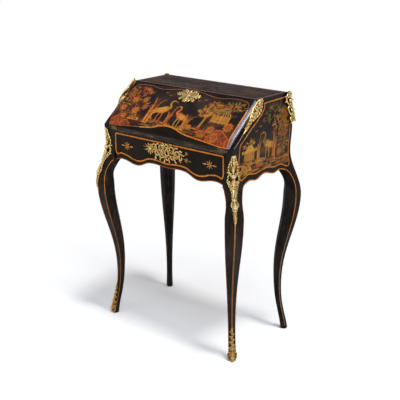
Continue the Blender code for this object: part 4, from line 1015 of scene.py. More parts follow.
class Painting:
    """A sheet of points in millimetres with a colour, a share of gilding and a relief for each."""

    def __init__(self, x, y, seed):
        self.x, self.y = x, y
        self.colour = np.tile(np.array(GROUND), (len(x), 1))
        self.gild = np.zeros(len(x))
        self.relief = np.zeros(len(x))
        self.chance = np.random.RandomState(seed)

    def near(self, low_x, high_x, low_y, high_y):
        """The points in a box."""
        return np.flatnonzero((self.x > low_x) & (self.x < high_x) & (self.y > low_y) & (self.y < high_y))

    def lay(self, where, share, colour, gild, relief):
        """Lays paint on some points, each touch a little lighter or darker than the last."""
        colour = np.array(colour) * self.chance.uniform(*TONE_RANGE)
        self.colour[where] += share[:, None] * (colour - self.colour[where])
        self.gild[where] += share * (gild - self.gild[where])
        self.relief[where] = np.maximum(self.relief[where], relief * share)

    def stroke(self, path, start, end, colour, gild=0.4, relief=0.5):
        """A brush stroke along a path, its width running from start to end."""
        path = np.asarray(path, float)
        reach = max(start, end) + BRUSH_MARGIN
        where = self.near(path[:, 0].min() - reach, path[:, 0].max() + reach,
                          path[:, 1].min() - reach, path[:, 1].max() + reach)
        if not len(where):
            return
        px, py = self.x[where], self.y[where]
        gap = np.full(len(where), np.inf)
        count = len(path) - 1
        for i in range(count):
            (ax, ay), (bx, by) = path[i], path[i + 1]
            dx, dy = bx - ax, by - ay
            t = np.clip(((px - ax) * dx + (py - ay) * dy) / (dx * dx + dy * dy + 1e-9), 0, 1)
            half = (start + (end - start) * (i + t) / count) / 2
            gap = np.minimum(gap, np.hypot(px - ax - t * dx, py - ay - t * dy) - half)
        self.lay(where, np.clip(0.5 - gap / BRUSH_EDGE, 0, 1), colour, gild, relief)

    def dab(self, x, y, wide, tall, turn, colour, gild=0.2, relief=0.2, soft=0.5, strength=1.0):
        """A soft oval touch."""
        reach = max(wide, tall)
        where = self.near(x - reach, x + reach, y - reach, y + reach)
        dx, dy = self.x[where] - x, self.y[where] - y
        c, s = math.cos(turn), math.sin(turn)
        far = np.hypot((dx * c + dy * s) / wide, (dy * c - dx * s) / tall)
        self.lay(where, strength * np.clip((1 - far) / soft, 0, 1), colour, gild, relief)

    def patch(self, corners, colour, gild=0.4, relief=0.6):
        """A flat shape with straight sides."""
        corners = np.asarray(corners, float)
        where = self.near(corners[:, 0].min(), corners[:, 0].max(), corners[:, 1].min(), corners[:, 1].max())
        inside = inside_outline(self.x[where], self.y[where], corners)
        self.lay(where, inside.astype(float), colour, gild, relief)


print("brushes: stroke, dab and patch")

# %% [markdown]
# ## Motifs: leaves, trees and rocks
# Each motif is a handful of strokes that any painter of such scenes used. A tree is a bent trunk whose
# branches end in clouds of leaf strokes; a rock is a brushed shape with dark cracks and a lit edge. Drawn
# by functions, no two come out alike, as no two came out alike by hand.

# %% Leaves, trees and rocks


def leaves(p, x, y, wide, tall, count, length, colours):
    """A cloud of leaf strokes."""
    for _ in range(count):
        turn, far = p.chance.uniform(0, 2 * math.pi), math.sqrt(p.chance.uniform())
        a, b = x + wide * far * math.cos(turn), y + tall * far * math.sin(turn)
        lean = turn + p.chance.uniform(-0.7, 0.7)
        run = length * p.chance.uniform(0.6, 1.3)
        tip = (a + run * math.cos(lean), b + run * math.sin(lean) * 0.8)
        thick = p.chance.uniform(3.0, 5.0)
        p.stroke([(a, b), tip], thick, 1.0, colours[p.chance.randint(len(colours))], 0.35, 0.5)


def tree(p, x, y, height, lean, pads, trunk, colours, size=20):
    """A bent trunk with branches that end in leaf clouds."""
    top = (x + lean, y + height)
    middle = (x + lean * 0.2 + p.chance.uniform(-6, 6), y + height * 0.5)
    p.stroke([(x, y), middle, top], 10, 4, trunk, 0.4, 0.7)
    for i in range(pads):
        share = 0.45 + 0.55 * (i + 1) / pads
        root = (x + lean * share ** 1.6, y + height * share)
        reach = (1 if i % 2 else -1) * p.chance.uniform(14, 34) * (1.2 - 0.4 * share)
        end = (root[0] + reach, root[1] + p.chance.uniform(4, 16))
        p.stroke([root, end], 4.0, 2.4, trunk, 0.4, 0.5)
        leaves(p, *end, size, size * 0.5, 32, 11, colours)
    leaves(p, *top, size * 1.1, size * 0.55, 40, 11, colours)


def rock(p, x, y, wide, tall, colour, shade, edge):
    """A cliff of facets: brushed faces, dark cracks and a bright upper edge."""
    count = 8
    steps = np.linspace(-0.5, 0.5, count)
    rise = tall * (0.35 + 0.65 * np.cos(steps * 2.6) ** 2) * p.chance.uniform(0.6, 1.1, count)
    crest = np.column_stack((x + steps * wide + p.chance.uniform(-4, 4, count), y + rise))
    p.patch(np.vstack(([x - wide * 0.55, y], crest, [x + wide * 0.55, y])), colour, 0.2, 0.5)
    for i in range(5 * count):
        k, low = p.chance.randint(count), p.chance.uniform(0.0, 0.8)
        a = (crest[k, 0] + p.chance.uniform(-6, 6), y + rise[k] * low)
        b = (a[0] + p.chance.uniform(-9, 9), y + rise[k] * min(low + p.chance.uniform(0.15, 0.4), 1))
        p.stroke([a, b], 5.0, 2.0, (shade, edge, colour)[i % 3], 0.25, 0.4)
    p.stroke(crest, 3.2, 3.2, edge, 0.5, 0.7)


print("motifs: leaves, trees and rocks")

# %% [markdown]
# ## Motifs: flowers, reeds, cranes and halls
# These are the parts of the scene that the eye stops at. A flower is two rounds of dabs with a vein in
# each, a clump of reeds is a fan of long tapered strokes, and a crane is a few curved ones. An open hall
# is straight-sided patches with strokes for posts and tiles.

# %% Flowers, reeds, cranes and halls


def flower(p, x, y, size, outer, inner, heart):
    """A full-blown flower: two rounds of veined petals and a heart."""
    for count, far, wide, colour in ((9, 0.62, 0.42, outer), (6, 0.32, 0.36, inner)):
        turn = p.chance.uniform(0, 1)
        for k in range(count):
            a = 2 * math.pi * (k + turn) / count
            c, s = math.cos(a), math.sin(a)
            p.dab(x + far * size * c, y + far * size * s, wide * size, 0.27 * size, a, colour, 0.35, 0.6, 0.4)
            vein = [(x + reach * far * size * c, y + reach * far * size * s) for reach in (0.4, 1.4)]
            p.stroke(vein, 1.2, 2.2, heart, 0.5, 0.7)
    p.dab(x, y, 0.2 * size, 0.2 * size, 0, heart, 0.5, 0.8, 0.4)


def reeds(p, x, y, tall, count, spread, colours):
    """A clump of long blades that fall to both sides."""
    for i in range(count):
        side = p.chance.uniform(-1, 1)
        height = tall * p.chance.uniform(0.6, 1.05)
        foot = x + spread * 0.25 * side + p.chance.uniform(-3, 3)
        knee = (foot + spread * 0.2 * side, y + height * 0.75)
        tip = (foot + spread * side * p.chance.uniform(0.5, 1.0), y + height * p.chance.uniform(0.8, 1.0))
        blade = smooth_path([(foot, y), knee, tip], 8)[:, :2]
        p.stroke(blade, p.chance.uniform(5.0, 7.5), 1.4, colours[i % len(colours)], 0.5, 0.7)


def crane(p, x, y, size, face, body, plume):
    """A standing crane: legs, tail plumes, a body with a folded wing, a bent neck and a long bill."""

    def path(*points):
        """A curve through points given as shares of the bird's size."""
        return smooth_path([(x + face * a * size, y + b * size) for a, b in points], 5)[:, :2]

    for a in (-0.05, 0.06):
        p.stroke(path((a, 0), (a * 1.6, 0.22), (a, 0.46)), 3.0, 3.6, plume, 0.5, 0.6)
    for k in range(7):
        tail = path((-0.02, 0.60), (-0.24 - 0.02 * k, 0.55 - 0.05 * k), (-0.44 + 0.035 * k, 0.38 - 0.05 * k))
        p.stroke(tail, 8.0, 2.6, (body, plume)[k % 2], 0.5, 0.7)
    p.dab(x + face * 0.03 * size, y + 0.54 * size, 0.26 * size, 0.16 * size, face * 0.5, body, 0.5, 0.8, 0.3)
    for k in range(4):
        wing = path((0.16, 0.60 - 0.03 * k), (0.0, 0.60 - 0.05 * k), (-0.16, 0.53 - 0.05 * k))
        p.stroke(wing, 2.0, 3.0, (PALE_GOLD, plume)[k % 2], 0.5, 0.9)
    neck = path((0.16, 0.58), (0.27, 0.68), (0.18, 0.82), (0.20, 0.94), (0.29, 0.97))
    p.stroke(neck, 9.0, 5.4, body, 0.5, 0.8)
    p.stroke(path((0.28, 0.97), (0.36, 0.95), (0.45, 0.91)), 3.8, 1.4, plume, 0.5, 0.8)


def pavilion(p, x, y, wide, tall, wall, roof):
    """An open hall on posts, with a broad roof and a railing."""
    half = wide / 2

    def outline(*points):
        """Points given as shares of the hall's half width and height."""
        return [(x + half * a, y + tall * b) for a, b in points]

    p.patch(outline((-1, 0), (1, 0), (0.92, 0.13), (-0.92, 0.13)), BROWN, 0.2, 0.4)
    p.patch(outline((-0.8, 0.13), (0.8, 0.13), (0.8, 0.56), (-0.8, 0.56)), wall, 0.3, 0.4)
    for k in np.linspace(-0.78, 0.78, 5):
        p.stroke(outline((k, 0.10), (k, 0.58)), 3.4, 3.4, GOLD, 0.5, 0.8)
    p.stroke(outline((-0.9, 0.26), (0.9, 0.26)), 2.6, 2.6, ORANGE, 0.5, 0.7)
    p.patch(outline((-1.15, 0.56), (-1.32, 0.72), (-0.70, 0.74), (-0.30, 1),
                    (0.30, 1), (0.70, 0.74), (1.32, 0.72), (1.15, 0.56)), roof, 0.4, 0.8)
    for k in np.linspace(-0.9, 0.9, 9):
        tile = outline((k * 0.34, 0.97), (k * 1.1, 0.60))
        p.stroke(tile, 1.2, 2.2, (PALE_GOLD, BROWN)[int(10 * k) % 2], 0.5, 0.9)


print("motifs: flowers, reeds, cranes and halls")

# %% [markdown]
# ## Motifs: ground, birds and old varnish
# Low strokes with tufts of grass tie the scene to the ground, and far birds fill the sky. The old varnish
# has turned brown in clouds; broad, faint dabs under the picture show it better than a noise in the
# material would, because they can be denser in one corner.

# %% Ground, birds and old varnish


def shore(p, x0, x1, y, count, colours):
    """Long low strokes of ground with tufts of grass."""
    for _ in range(count):
        x = p.chance.uniform(x0, x1)
        run, drop = p.chance.uniform(18, 54), p.chance.uniform(-2, 2)
        height = y + p.chance.uniform(-8, 8)
        colour = colours[p.chance.randint(len(colours))]
        bank = [(x - run / 2, height), (x, height + 2), (x + run / 2, height + drop)]
        p.stroke(bank, 1.8, 3.8, colour, 0.3, 0.3)
        for _ in range(2):
            tuft = x + p.chance.uniform(-run / 2, run / 2)
            tip = (tuft + p.chance.uniform(-6, 6), height + p.chance.uniform(6, 13))
            p.stroke([(tuft, height), tip], 2.8, 1.0, colour, 0.4, 0.4)


def birds(p, places, colour):
    """Birds far off, two strokes each."""
    for x, y in places:
        p.stroke([(x - 6, y + 3), (x, y), (x + 6, y + 4)], 2.2, 2.2, colour, 0.5, 0.6)


def old_varnish(p, count, x0, x1, y0, y1, colour, strength):
    """Broad faint clouds of brown, where the old varnish has turned."""
    for _ in range(count):
        x, y = p.chance.uniform(x0, x1), p.chance.uniform(y0, y1)
        wide, tall = p.chance.uniform(25, 70), p.chance.uniform(14, 34)
        p.dab(x, y, wide, tall, p.chance.uniform(-0.5, 0.5), colour, 0.0, 0.0, 1.0, strength)


print("motifs: ground, birds and old varnish")

# %% [markdown]
# ## The painted finish
# The sheet's colour attribute gives the colour and a second attribute says how much of it is gold leaf.
# A noise breaks both up, as a hand-laid powder does, and the varnish on top is the lacquer's own. The top
# has the same finish without its shine.

# %% Painted finish
PAINT_SHEEN, DULL_SHEEN = 0.09, 0.01
LEAF_SHINE = 0.5
painted, nodes, shader, place = new_finish("painted_lacquer")
grains = noise(nodes, place, 420.0, 4.0, 0.7)
clouds = noise(nodes, place, 60.0, 5.0, 0.65)
worn = mixed(nodes, ramp(nodes, grains, (0.46, 0.0), (0.66, 0.5)), attribute(nodes, "paint", "Color"),
             srgb(40, 27, 20))
worn = mixed(nodes, ramp(nodes, clouds, (0.52, 0.0), (0.76, 0.55)), worn, srgb(30, 22, 19))
nodes.links.new(worn, shader.inputs["Base Color"])
shine = worked(nodes, "MULTIPLY", attribute(nodes, "gilding"), LEAF_SHINE)
nodes.links.new(shine, shader.inputs["Metallic"])
nodes.links.new(ramp(nodes, clouds, (0.3, 0.22), (0.75, 0.42)), shader.inputs["Roughness"])
shader.inputs["Specular IOR Level"].default_value = PAINT_SHEEN
shader.inputs["Specular Tint"].default_value = VARNISH_TINT
bump(nodes, grains, 0.12, 0.0004, shader)
painted_dull = painted.copy()
painted_dull.name = "painted_lacquer_dull"
painted_dull.node_tree.nodes["Principled BSDF"].inputs["Specular IOR Level"].default_value = DULL_SHEEN
print("made", painted.name, "and", painted_dull.name)

# %% [markdown]
# ## Sheets for the pictures
# A grid is added, stretched over the outline's box, and the faces outside the outline are deleted; the
# gold border hides the stepped edge. The picture gives the heights and colours, the points are laid on
# the wood, and Solidify gives the sheet a back.

# %% Painted sheets
SHEET_RISE, SHEET_RELIEF, SHEET_DEPTH = 0.25 * MM, 0.45 * MM, 0.5 * MM


def cut_sheet(name, outline, cell):
    """A flat grid of square cells, cut to an outline."""
    low, high = outline[:, :2].min(0), outline[:, :2].max(0)
    columns, rows = (int(count) for count in np.ceil((high - low) / cell))
    bpy.ops.object.select_all(action="DESELECT")
    bpy.ops.mesh.primitive_grid_add(x_subdivisions=columns, y_subdivisions=rows, size=1)
    sheet = bpy.context.object
    sheet.name = name
    points = mesh_points(sheet)
    points[:, :2] = low + (points[:, :2] + 0.5) * (high - low)
    move_points(sheet, points)
    centres = face_centres(sheet)
    outside = ~inside_outline(centres[:, 0], centres[:, 1], outline[:, :2])
    bpy.ops.object.mode_set(mode="EDIT")
    bpy.ops.mesh.select_mode(type="FACE")
    bpy.ops.mesh.select_all(action="DESELECT")
    bpy.ops.object.mode_set(mode="OBJECT")
    sheet.data.polygons.foreach_set("select", outside)
    bpy.ops.object.mode_set(mode="EDIT")
    bpy.ops.mesh.delete(type="FACE")
    bpy.ops.object.mode_set(mode="OBJECT")
    return sheet


def painted_sheet(name, outline, cell, seed, paint, surface, body, finish=painted):
    """A sheet cut to an outline, painted, and laid on a surface of the desk."""
    sheet = cut_sheet(name, outline, cell)
    points = mesh_points(sheet)
    picture = Painting(points[:, 0] / MM, points[:, 1] / MM, seed)
    paint(picture)
    colours = sheet.data.attributes.new("paint", "FLOAT_COLOR", "POINT")
    colours.data.foreach_set("color", np.column_stack((picture.colour, np.ones(len(points)))).ravel())
    gilding = sheet.data.attributes.new("gilding", "FLOAT", "POINT")
    gilding.data.foreach_set("value", picture.gild)
    move_points(sheet, surface(points[:, 0], points[:, 1], SHEET_RISE + SHEET_RELIEF * picture.relief))
    apply_modifier(sheet, "SOLIDIFY", thickness=SHEET_DEPTH, offset=-1.0)
    return finish_piece(sheet, finish, body, 60)


print("sheets can be painted")

# %% [markdown]
# ## The lid's picture
# A bank of rust and orange flowers fills the left, cranes wade among gold reeds in the middle, an ochre
# tree leans over a hall on the right, and rust cliffs close the corner. Dark gaps keep the lacquer alive.
# The layers go on from the far ones to the near ones, as a painter works.

# %% Picture on the lid
LID_CELL, LID_SEED = 1.7 * MM, 11
LEFT_FLOWERS = ((-246, 78, 22), (-214, 120, 24), (-184, 74, 26), (-246, 140, 19), (-222, 44, 20),
                (-168, 126, 18), (-152, 96, 15))
RIGHT_FLOWERS = ((176, 52, 17), (238, 74, 20), (206, 28, 18), (150, 24, 14))


def paint_lid(p):
    """Flowers, reeds, two cranes, a hall under a tree, and cliffs."""
    old_varnish(p, 26, -270, 270, 0, 200, srgb(52, 38, 32), 0.7)
    old_varnish(p, 10, -270, -150, 0, 170, srgb(96, 42, 24), 0.5)
    old_varnish(p, 8, 130, 270, 0, 120, srgb(112, 60, 28), 0.5)
    rock(p, -232, -4, 110, 58, RUST, DEEP_RUST, ORANGE)
    leaves(p, -206, 92, 56, 56, 110, 15, (OCHRE, DEEP_RUST, GOLD, OLIVE, BROWN))
    for x, y, size in LEFT_FLOWERS:
        flower(p, x, y, size, (DEEP_RUST, RUST)[size % 2], (ORANGE, RUST)[size % 2], OCHRE)
    leaves(p, -206, 166, 50, 12, 46, 13, (ORANGE, RUST, OCHRE))
    shore(p, -180, -20, 38, 26, (OCHRE, RUST, GOLD, BROWN))
    reeds(p, -112, 40, 112, 11, 34, (ORANGE, GOLD, RUST))
    crane(p, -66, 42, 104, 1, GOLD, ORANGE)
    reeds(p, -20, 36, 84, 7, 26, (RUST, ORANGE, OCHRE))
    crane(p, 26, 34, 92, -1, ORANGE, GOLD)
    reeds(p, 62, 34, 76, 9, 28, (GOLD, ORANGE, OCHRE))
    flower(p, 84, 46, 13, ORANGE, RUST, GOLD)
    shore(p, -40, 120, 32, 26, (GOLD, OCHRE, ORANGE, BROWN))
    birds(p, [(60, 160), (84, 168), (-96, 172), (-74, 162)], OCHRE)
    pavilion(p, 190, 76, 88, 70, OCHRE, BROWN)
    tree(p, 124, 52, 92, 26, 5, OCHRE, (OCHRE, OLIVE, ORANGE, BROWN), 26)
    leaves(p, 214, 158, 44, 18, 70, 13, (OCHRE, OLIVE, ORANGE, BROWN))
    leaves(p, 112, 116, 26, 14, 34, 11, (GOLD, OCHRE))
    rock(p, 222, -4, 100, 76, RUST, DEEP_RUST, ORANGE)
    rock(p, 158, 0, 60, 44, DEEP_RUST, RUST, ORANGE)
    for x, y, size in RIGHT_FLOWERS:
        flower(p, x, y, size, ORANGE, RUST, OCHRE)
    shore(p, 96, 190, 40, 12, (OCHRE, ORANGE, RUST))
    shore(p, -120, 150, 20, 16, (BROWN, DEEP_RUST, OCHRE))


painted_sheet("lid_painting", lid_border, LID_CELL, LID_SEED, paint_lid, on_lid, "lid")

# %% [markdown]
# ## The pictures on the sides and the top
# The sides are more golden: a hall and rocks near the front, a crane and reeds in the middle, leaves that
# hang from an old trunk at the back, where the paint is darker. The top has only faint clouds and leaves,
# darker than on the other panels.

# %% Pictures on the sides and the top
SIDE_CELL, TOP_CELL = 1.8 * MM, 2.4 * MM
SIDE_SEEDS, TOP_SEED = {"left": 23, "right": 37}, 5
DIM_FROM, DIM_RUN, DIM_SHARE = 45, 55, 0.42
TOP_DULLED = 0.53
FADED = (srgb(92, 60, 40), srgb(74, 52, 40), srgb(110, 66, 40))
FADED_GROUND = (srgb(88, 58, 40), srgb(70, 50, 40))


def paint_side(p):
    """A hall, a crane among reeds, and an old tree at the back."""
    old_varnish(p, 18, -130, 145, 650, 885, srgb(46, 36, 34), 0.6)
    old_varnish(p, 10, -120, 140, 665, 760, srgb(104, 70, 28), 0.55)
    leaves(p, 66, 842, 62, 26, 90, 17, (OLIVE, OCHRE, OLIVE, BROWN))
    leaves(p, 92, 806, 34, 22, 46, 17, (OLIVE, OCHRE, GOLD))
    leaves(p, -84, 762, 26, 16, 36, 12, (OCHRE, GOLD, OLIVE))
    rock(p, -98, 664, 62, 46, OCHRE, BROWN, GOLD)
    pavilion(p, -80, 700, 66, 62, OCHRE, GOLD)
    shore(p, -128, 0, 694, 24, (OCHRE, GOLD, GOLD, BROWN))
    reeds(p, -30, 690, 92, 8, 24, (OCHRE, GOLD, ORANGE))
    crane(p, 22, 690, 104, -1, OCHRE, GOLD)
    reeds(p, 58, 684, 116, 10, 22, (ORANGE, GOLD, RUST))
    tree(p, 116, 668, 168, 14, 5, OCHRE, (OCHRE, OLIVE, GOLD, ORANGE), 24)
    leaves(p, 112, 742, 26, 40, 60, 14, (ORANGE, OCHRE, GOLD))
    rock(p, 108, 658, 66, 36, OCHRE, BROWN, ORANGE)
    flower(p, 92, 706, 18, ORANGE, GOLD, OCHRE)
    shore(p, -60, 140, 684, 30, (GOLD, OCHRE, ORANGE, BROWN))
    shore(p, -110, 120, 668, 14, (BROWN, OCHRE))
    birds(p, [(-20, 812), (4, 824), (-44, 800)], OCHRE)
    p.colour *= (1.0 - DIM_SHARE * np.clip((p.x - DIM_FROM) / DIM_RUN, 0, 1))[:, None]


def paint_top(p):
    """Faint clouds and leaves."""
    old_varnish(p, 60, -270, 270, -12, 142, srgb(70, 52, 44), 0.6)
    old_varnish(p, 22, -270, 270, -12, 142, srgb(96, 58, 38), 0.4)
    for x, y in ((-190, 30), (-60, 50), (90, 30), (205, 60)):
        leaves(p, x, y, 50, 26, 60, 16, FADED)
    shore(p, -250, 250, 20, 30, FADED_GROUND)
    p.colour *= TOP_DULLED


for hand, side in SIDES.items():
    painted_sheet(f"side_painting_{hand}", side_border, SIDE_CELL, SIDE_SEEDS[hand], paint_side,
                  on_side(side), "carcass")
painted_sheet("top_painting", top_border, TOP_CELL, TOP_SEED, paint_top, on_top, "carcass", painted_dull)

# %% [markdown]
# ## Cast gilt mounts
# The bronzes are rococo castings: leaves, scrolls, beads and husks run into each other. By hand one
# would sculpt them. Here each is drawn flat in millimetres as tapered strokes, u across and v along. A
# handful of functions gives the strokes, and they return paths and radii, so they can be turned, mirrored
# and strung together before any mesh exists.

# %% Strokes of a casting
LEAF_STEPS, SCROLL_STEPS, BEAD_STEPS = 9, 22, 9


def leaf(u, v, angle, length, width, lift=0.0, bend=0.0):
    """A leaf from its stalk to its tip; it may bend to one side."""
    t = np.linspace(0, 1, LEAF_STEPS)
    path = [np.array((u, v, lift))]
    for i in range(1, LEAF_STEPS):
        path.append(path[-1] + direction(angle + bend * t[i]) * length / (LEAF_STEPS - 1))
    radii = width / 2 * np.maximum(np.sin(math.pi * t ** 0.75) ** 0.8, 0.16)
    return np.array(path), radii, False


def frond(u, v, angle, length, width, lift=0.0, bend=0.0):
    """An acanthus leaf: a blade, a raised rib and three pairs of lobes."""
    path, radii, _ = leaf(u, v, angle, length, width * 0.66, lift, bend)
    strokes = [(path, radii, False), (path + (0, 0, width * 0.17), np.maximum(radii * 0.3, 0.45), False)]
    for i, reach in ((2, 0.62), (4, 0.66), (6, 0.46)):
        for hand in (-1, 1):
            turned = angle + bend * i / (LEAF_STEPS - 1) + hand * 46
            strokes.append(leaf(*path[i][:2], turned, width * reach, width * 0.36, lift + width * 0.07,
                                -hand * 24))
    return strokes


def scroll(u, v, radius, start, sweep, width, shrink=0.72, lift=0.0):
    """A C-scroll that curls in on itself and ends in a bead."""
    t = np.linspace(0, 1, SCROLL_STEPS)
    angle = np.radians(start + sweep * t)
    reach = radius * (1 - shrink * t ** 1.3)
    level = np.full(SCROLL_STEPS, lift)
    path = np.column_stack((u + reach * np.cos(angle), v + reach * np.sin(angle), level))
    radii = width / 2 * (0.55 + 0.45 * np.sin(math.pi * (0.15 + 0.6 * t)))
    radii[-2:] = width * 0.55
    return path, radii, False


def rail(points, width, lift=0.0):
    """A swelling bar through some points."""
    path = smooth_path(points, 2.0)
    path[:, 2] += lift
    t = np.linspace(0, 1, len(path))
    return path, width / 2 * (0.6 + 0.4 * np.sin(math.pi * t)), False


def oval(u, v, wide, tall, width, lift):
    """An oval ring."""
    turns = np.linspace(0, 2 * math.pi, 17)
    return rail([(u + wide * math.cos(a), v + tall * math.sin(a)) for a in turns], width, lift)


def bead(u, v, size, lift=0.0, tall=1.0):
    """A round or oval boss."""
    t = np.linspace(-0.99, 0.99, BEAD_STEPS)
    path = np.column_stack((np.full(BEAD_STEPS, u), v + t * size * tall, np.full(BEAD_STEPS, lift)))
    return path, size * np.sqrt(1 - t ** 2), False


def fan(u, v, angle, spread, count, length, width, lift=0.0):
    """Leaves spread like fingers, the middle one longest."""
    return [leaf(u, v, angle + spread / 2 * k, length * (1 - 0.32 * abs(k)), width, lift, 8 * k)
            for k in np.linspace(-1, 1, count)]


def garland(points, count, length, width, lift=0.0, tilt=0.0):
    """Leaves one after another along a path, each turned a little from it."""
    path = smooth_path(points, 1.0)
    strokes = []
    for i in np.linspace(0, len(path) - 4, count).astype(int):
        u, v = (path[i + 3] - path[i])[:2]
        strokes.append(leaf(*path[i][:2], math.degrees(math.atan2(v, u)) + tilt, length, width, lift, -tilt))
    return strokes


def both(*strokes):
    """Strokes and their mirror images on the other side of the middle line."""
    pairs = (((path, radii, closed), (path * (-1, 1, 1), radii, closed)) for path, radii, closed in strokes)
    return [stroke for pair in pairs for stroke in pair]


print("strokes: leaf, frond, scroll, rail, oval, bead, fan and garland")

# %% [markdown]
# ## From strokes to a casting
# The strokes are pressed to part of their height, a voxel remesh melts them into one casting, as wax
# does, a bisect gives it a flat back, and it is smoothed a little. A boolean union would join them too,
# but leaves hard seams. The height of each point, and how far it stands above its neighbours, is kept as
# the relief attribute. The gilt finish reads it as painted shade in the hollows and painted highlight on
# the tops. Only then is the casting laid on the wood.

# %% Casting
VOXEL, PRESS, BACK = 0.65 * MM, 0.74, -0.6 * MM
TOP_HIGHLIGHT_SHARE, HOLLOW_SHADE_SHARE, CAVITY_ROUNDS = 0.4, 0.6, 12


def cavity(thing, height):
    """How far each point stands above its neighbourhood."""
    edges = np.empty(len(thing.data.edges) * 2, int)
    thing.data.edges.foreach_get("vertices", edges)
    a, b = edges.reshape(-1, 2).T
    links = np.maximum(np.bincount(np.concatenate((a, b)), minlength=len(height)), 1)
    level = height
    for _ in range(CAVITY_ROUNDS):
        level = (np.bincount(a, level[b], len(height)) + np.bincount(b, level[a], len(height))) / links
    return (height - level) / np.std(height - level)


def cast(name, strokes, surface, body, replaced, material=gilt_bronze, back_level=0.0):
    """Makes one casting in the place of a frame node; its back may be lifted out of the painted shade by a
    tone of its own.
    """
    scaled = [(path * MM / (1, 1, PRESS), radii * MM, closed) for path, radii, closed in strokes]
    thing = strokes_mesh(name, scaled, 2)
    points = mesh_points(thing)
    points[:, 2] *= PRESS
    move_points(thing, points)
    apply_modifier(thing, "REMESH", mode="VOXEL", voxel_size=VOXEL)
    bpy.ops.object.mode_set(mode="EDIT")
    bpy.ops.mesh.select_all(action="SELECT")
    bpy.ops.mesh.bisect(plane_co=(0, 0, BACK), plane_no=(0, 0, 1), use_fill=True, clear_inner=True)
    bpy.ops.object.mode_set(mode="OBJECT")
    apply_modifier(thing, "SMOOTH", factor=0.5, iterations=1)
    points = mesh_points(thing)
    height = np.clip(points[:, 2] / np.percentile(points[:, 2], 99), 0, 1)
    relief = thing.data.attributes.new("relief", "FLOAT", "POINT")
    # Painted light: high and proud points get a bright tone, low and sunken ones a dark tone.
    level = TOP_HIGHLIGHT_SHARE * height + HOLLOW_SHADE_SHARE * np.clip(0.5 + cavity(thing, points[:, 2]) / 3, 0, 1)
    at_back = points[:, 2] < 0.5 * BACK
    relief.data.foreach_set("value", np.where(at_back, np.maximum(level, back_level), level))
    move_points(thing, surface(*points.T))
    finish_piece(thing, material, body, 70)
    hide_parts(replaced)
    return thing


print("castings can be made")

# %% [markdown]
# ## Bending a casting round a leg
# A real mount is chased to fit the corner it sits on. Two Curve or Lattice modifiers could bend a flat
# one; a rule that reads the leg's own arris by height fits every leg, and turns softly from the front
# face to the side face over a few millimetres.

# %% Round a leg
FOLD = 4 * MM
FACE_LEAN = 0.087
ARCH_LOW, ARCH_HIGH = 0.585, 0.632


def ease(value):
    """A soft step from 0 to 1."""
    value = np.clip(value, 0, 1)
    return value * value * (3 - 2 * value)


def on_arris(side, back, base, lift):
    """Bends a flat casting round the arris of a leg: u < 0 on the front or back, u > 0 on the side."""
    edge = legs[side, back][0]

    def bend(u, v, h):
        z = base + v
        x = np.interp(z, edge[:, 2], edge[:, 0])
        y = np.interp(z, edge[:, 2], edge[:, 1])
        front, flank = np.maximum(-u, 0), np.maximum(u, 0)
        rise = h + lift
        lean = FACE_LEAN * (1 - ease((z - ARCH_LOW) / (ARCH_HIGH - ARCH_LOW)))
        face_share, side_share = 1 - ease(u / FOLD), 1 - ease(-u / FOLD)
        return np.column_stack((x - side * front + side * (rise * side_share + lean * flank),
                                y - back * flank + back * (rise * face_share + lean * front), z))

    return bend


print("castings can be bent round a leg")

# %% [markdown]
# ## Knee mounts
# A pointed leaf at the top, two rails that swell out into prongs and leave slots of black between them,
# a boss with falling leaves, a waist of beads, a husk, and a long tail that runs into the gold line. One
# half is drawn and mirrored; a slight sway of the middle line keeps it from looking stamped.

# %% Knee mounts
KNEE_TOP, KNEE_LIFT = 0.7470, 1.2 * MM
KNEE_PLACES = np.array((-230.0, -200.0, -165.0, -125.0, -95.0, -60.0, 0.0)) * MM
KNEE_SHARES = np.array((1.0, 0.86, 0.74, 0.66, 0.82, 0.82, 0.84))
SWAY, SWAY_RUN = 0.9 * MM, 7 * MM


def on_knee(side):
    """Round a front leg, narrowed along its length, the middle line swaying a little."""
    bend = on_arris(side, -1, KNEE_TOP, KNEE_LIFT)

    def narrow(u, v, h):
        return bend(u * np.interp(v, KNEE_PLACES, KNEE_SHARES) + SWAY * np.sin(v / SWAY_RUN), v, h)

    return narrow


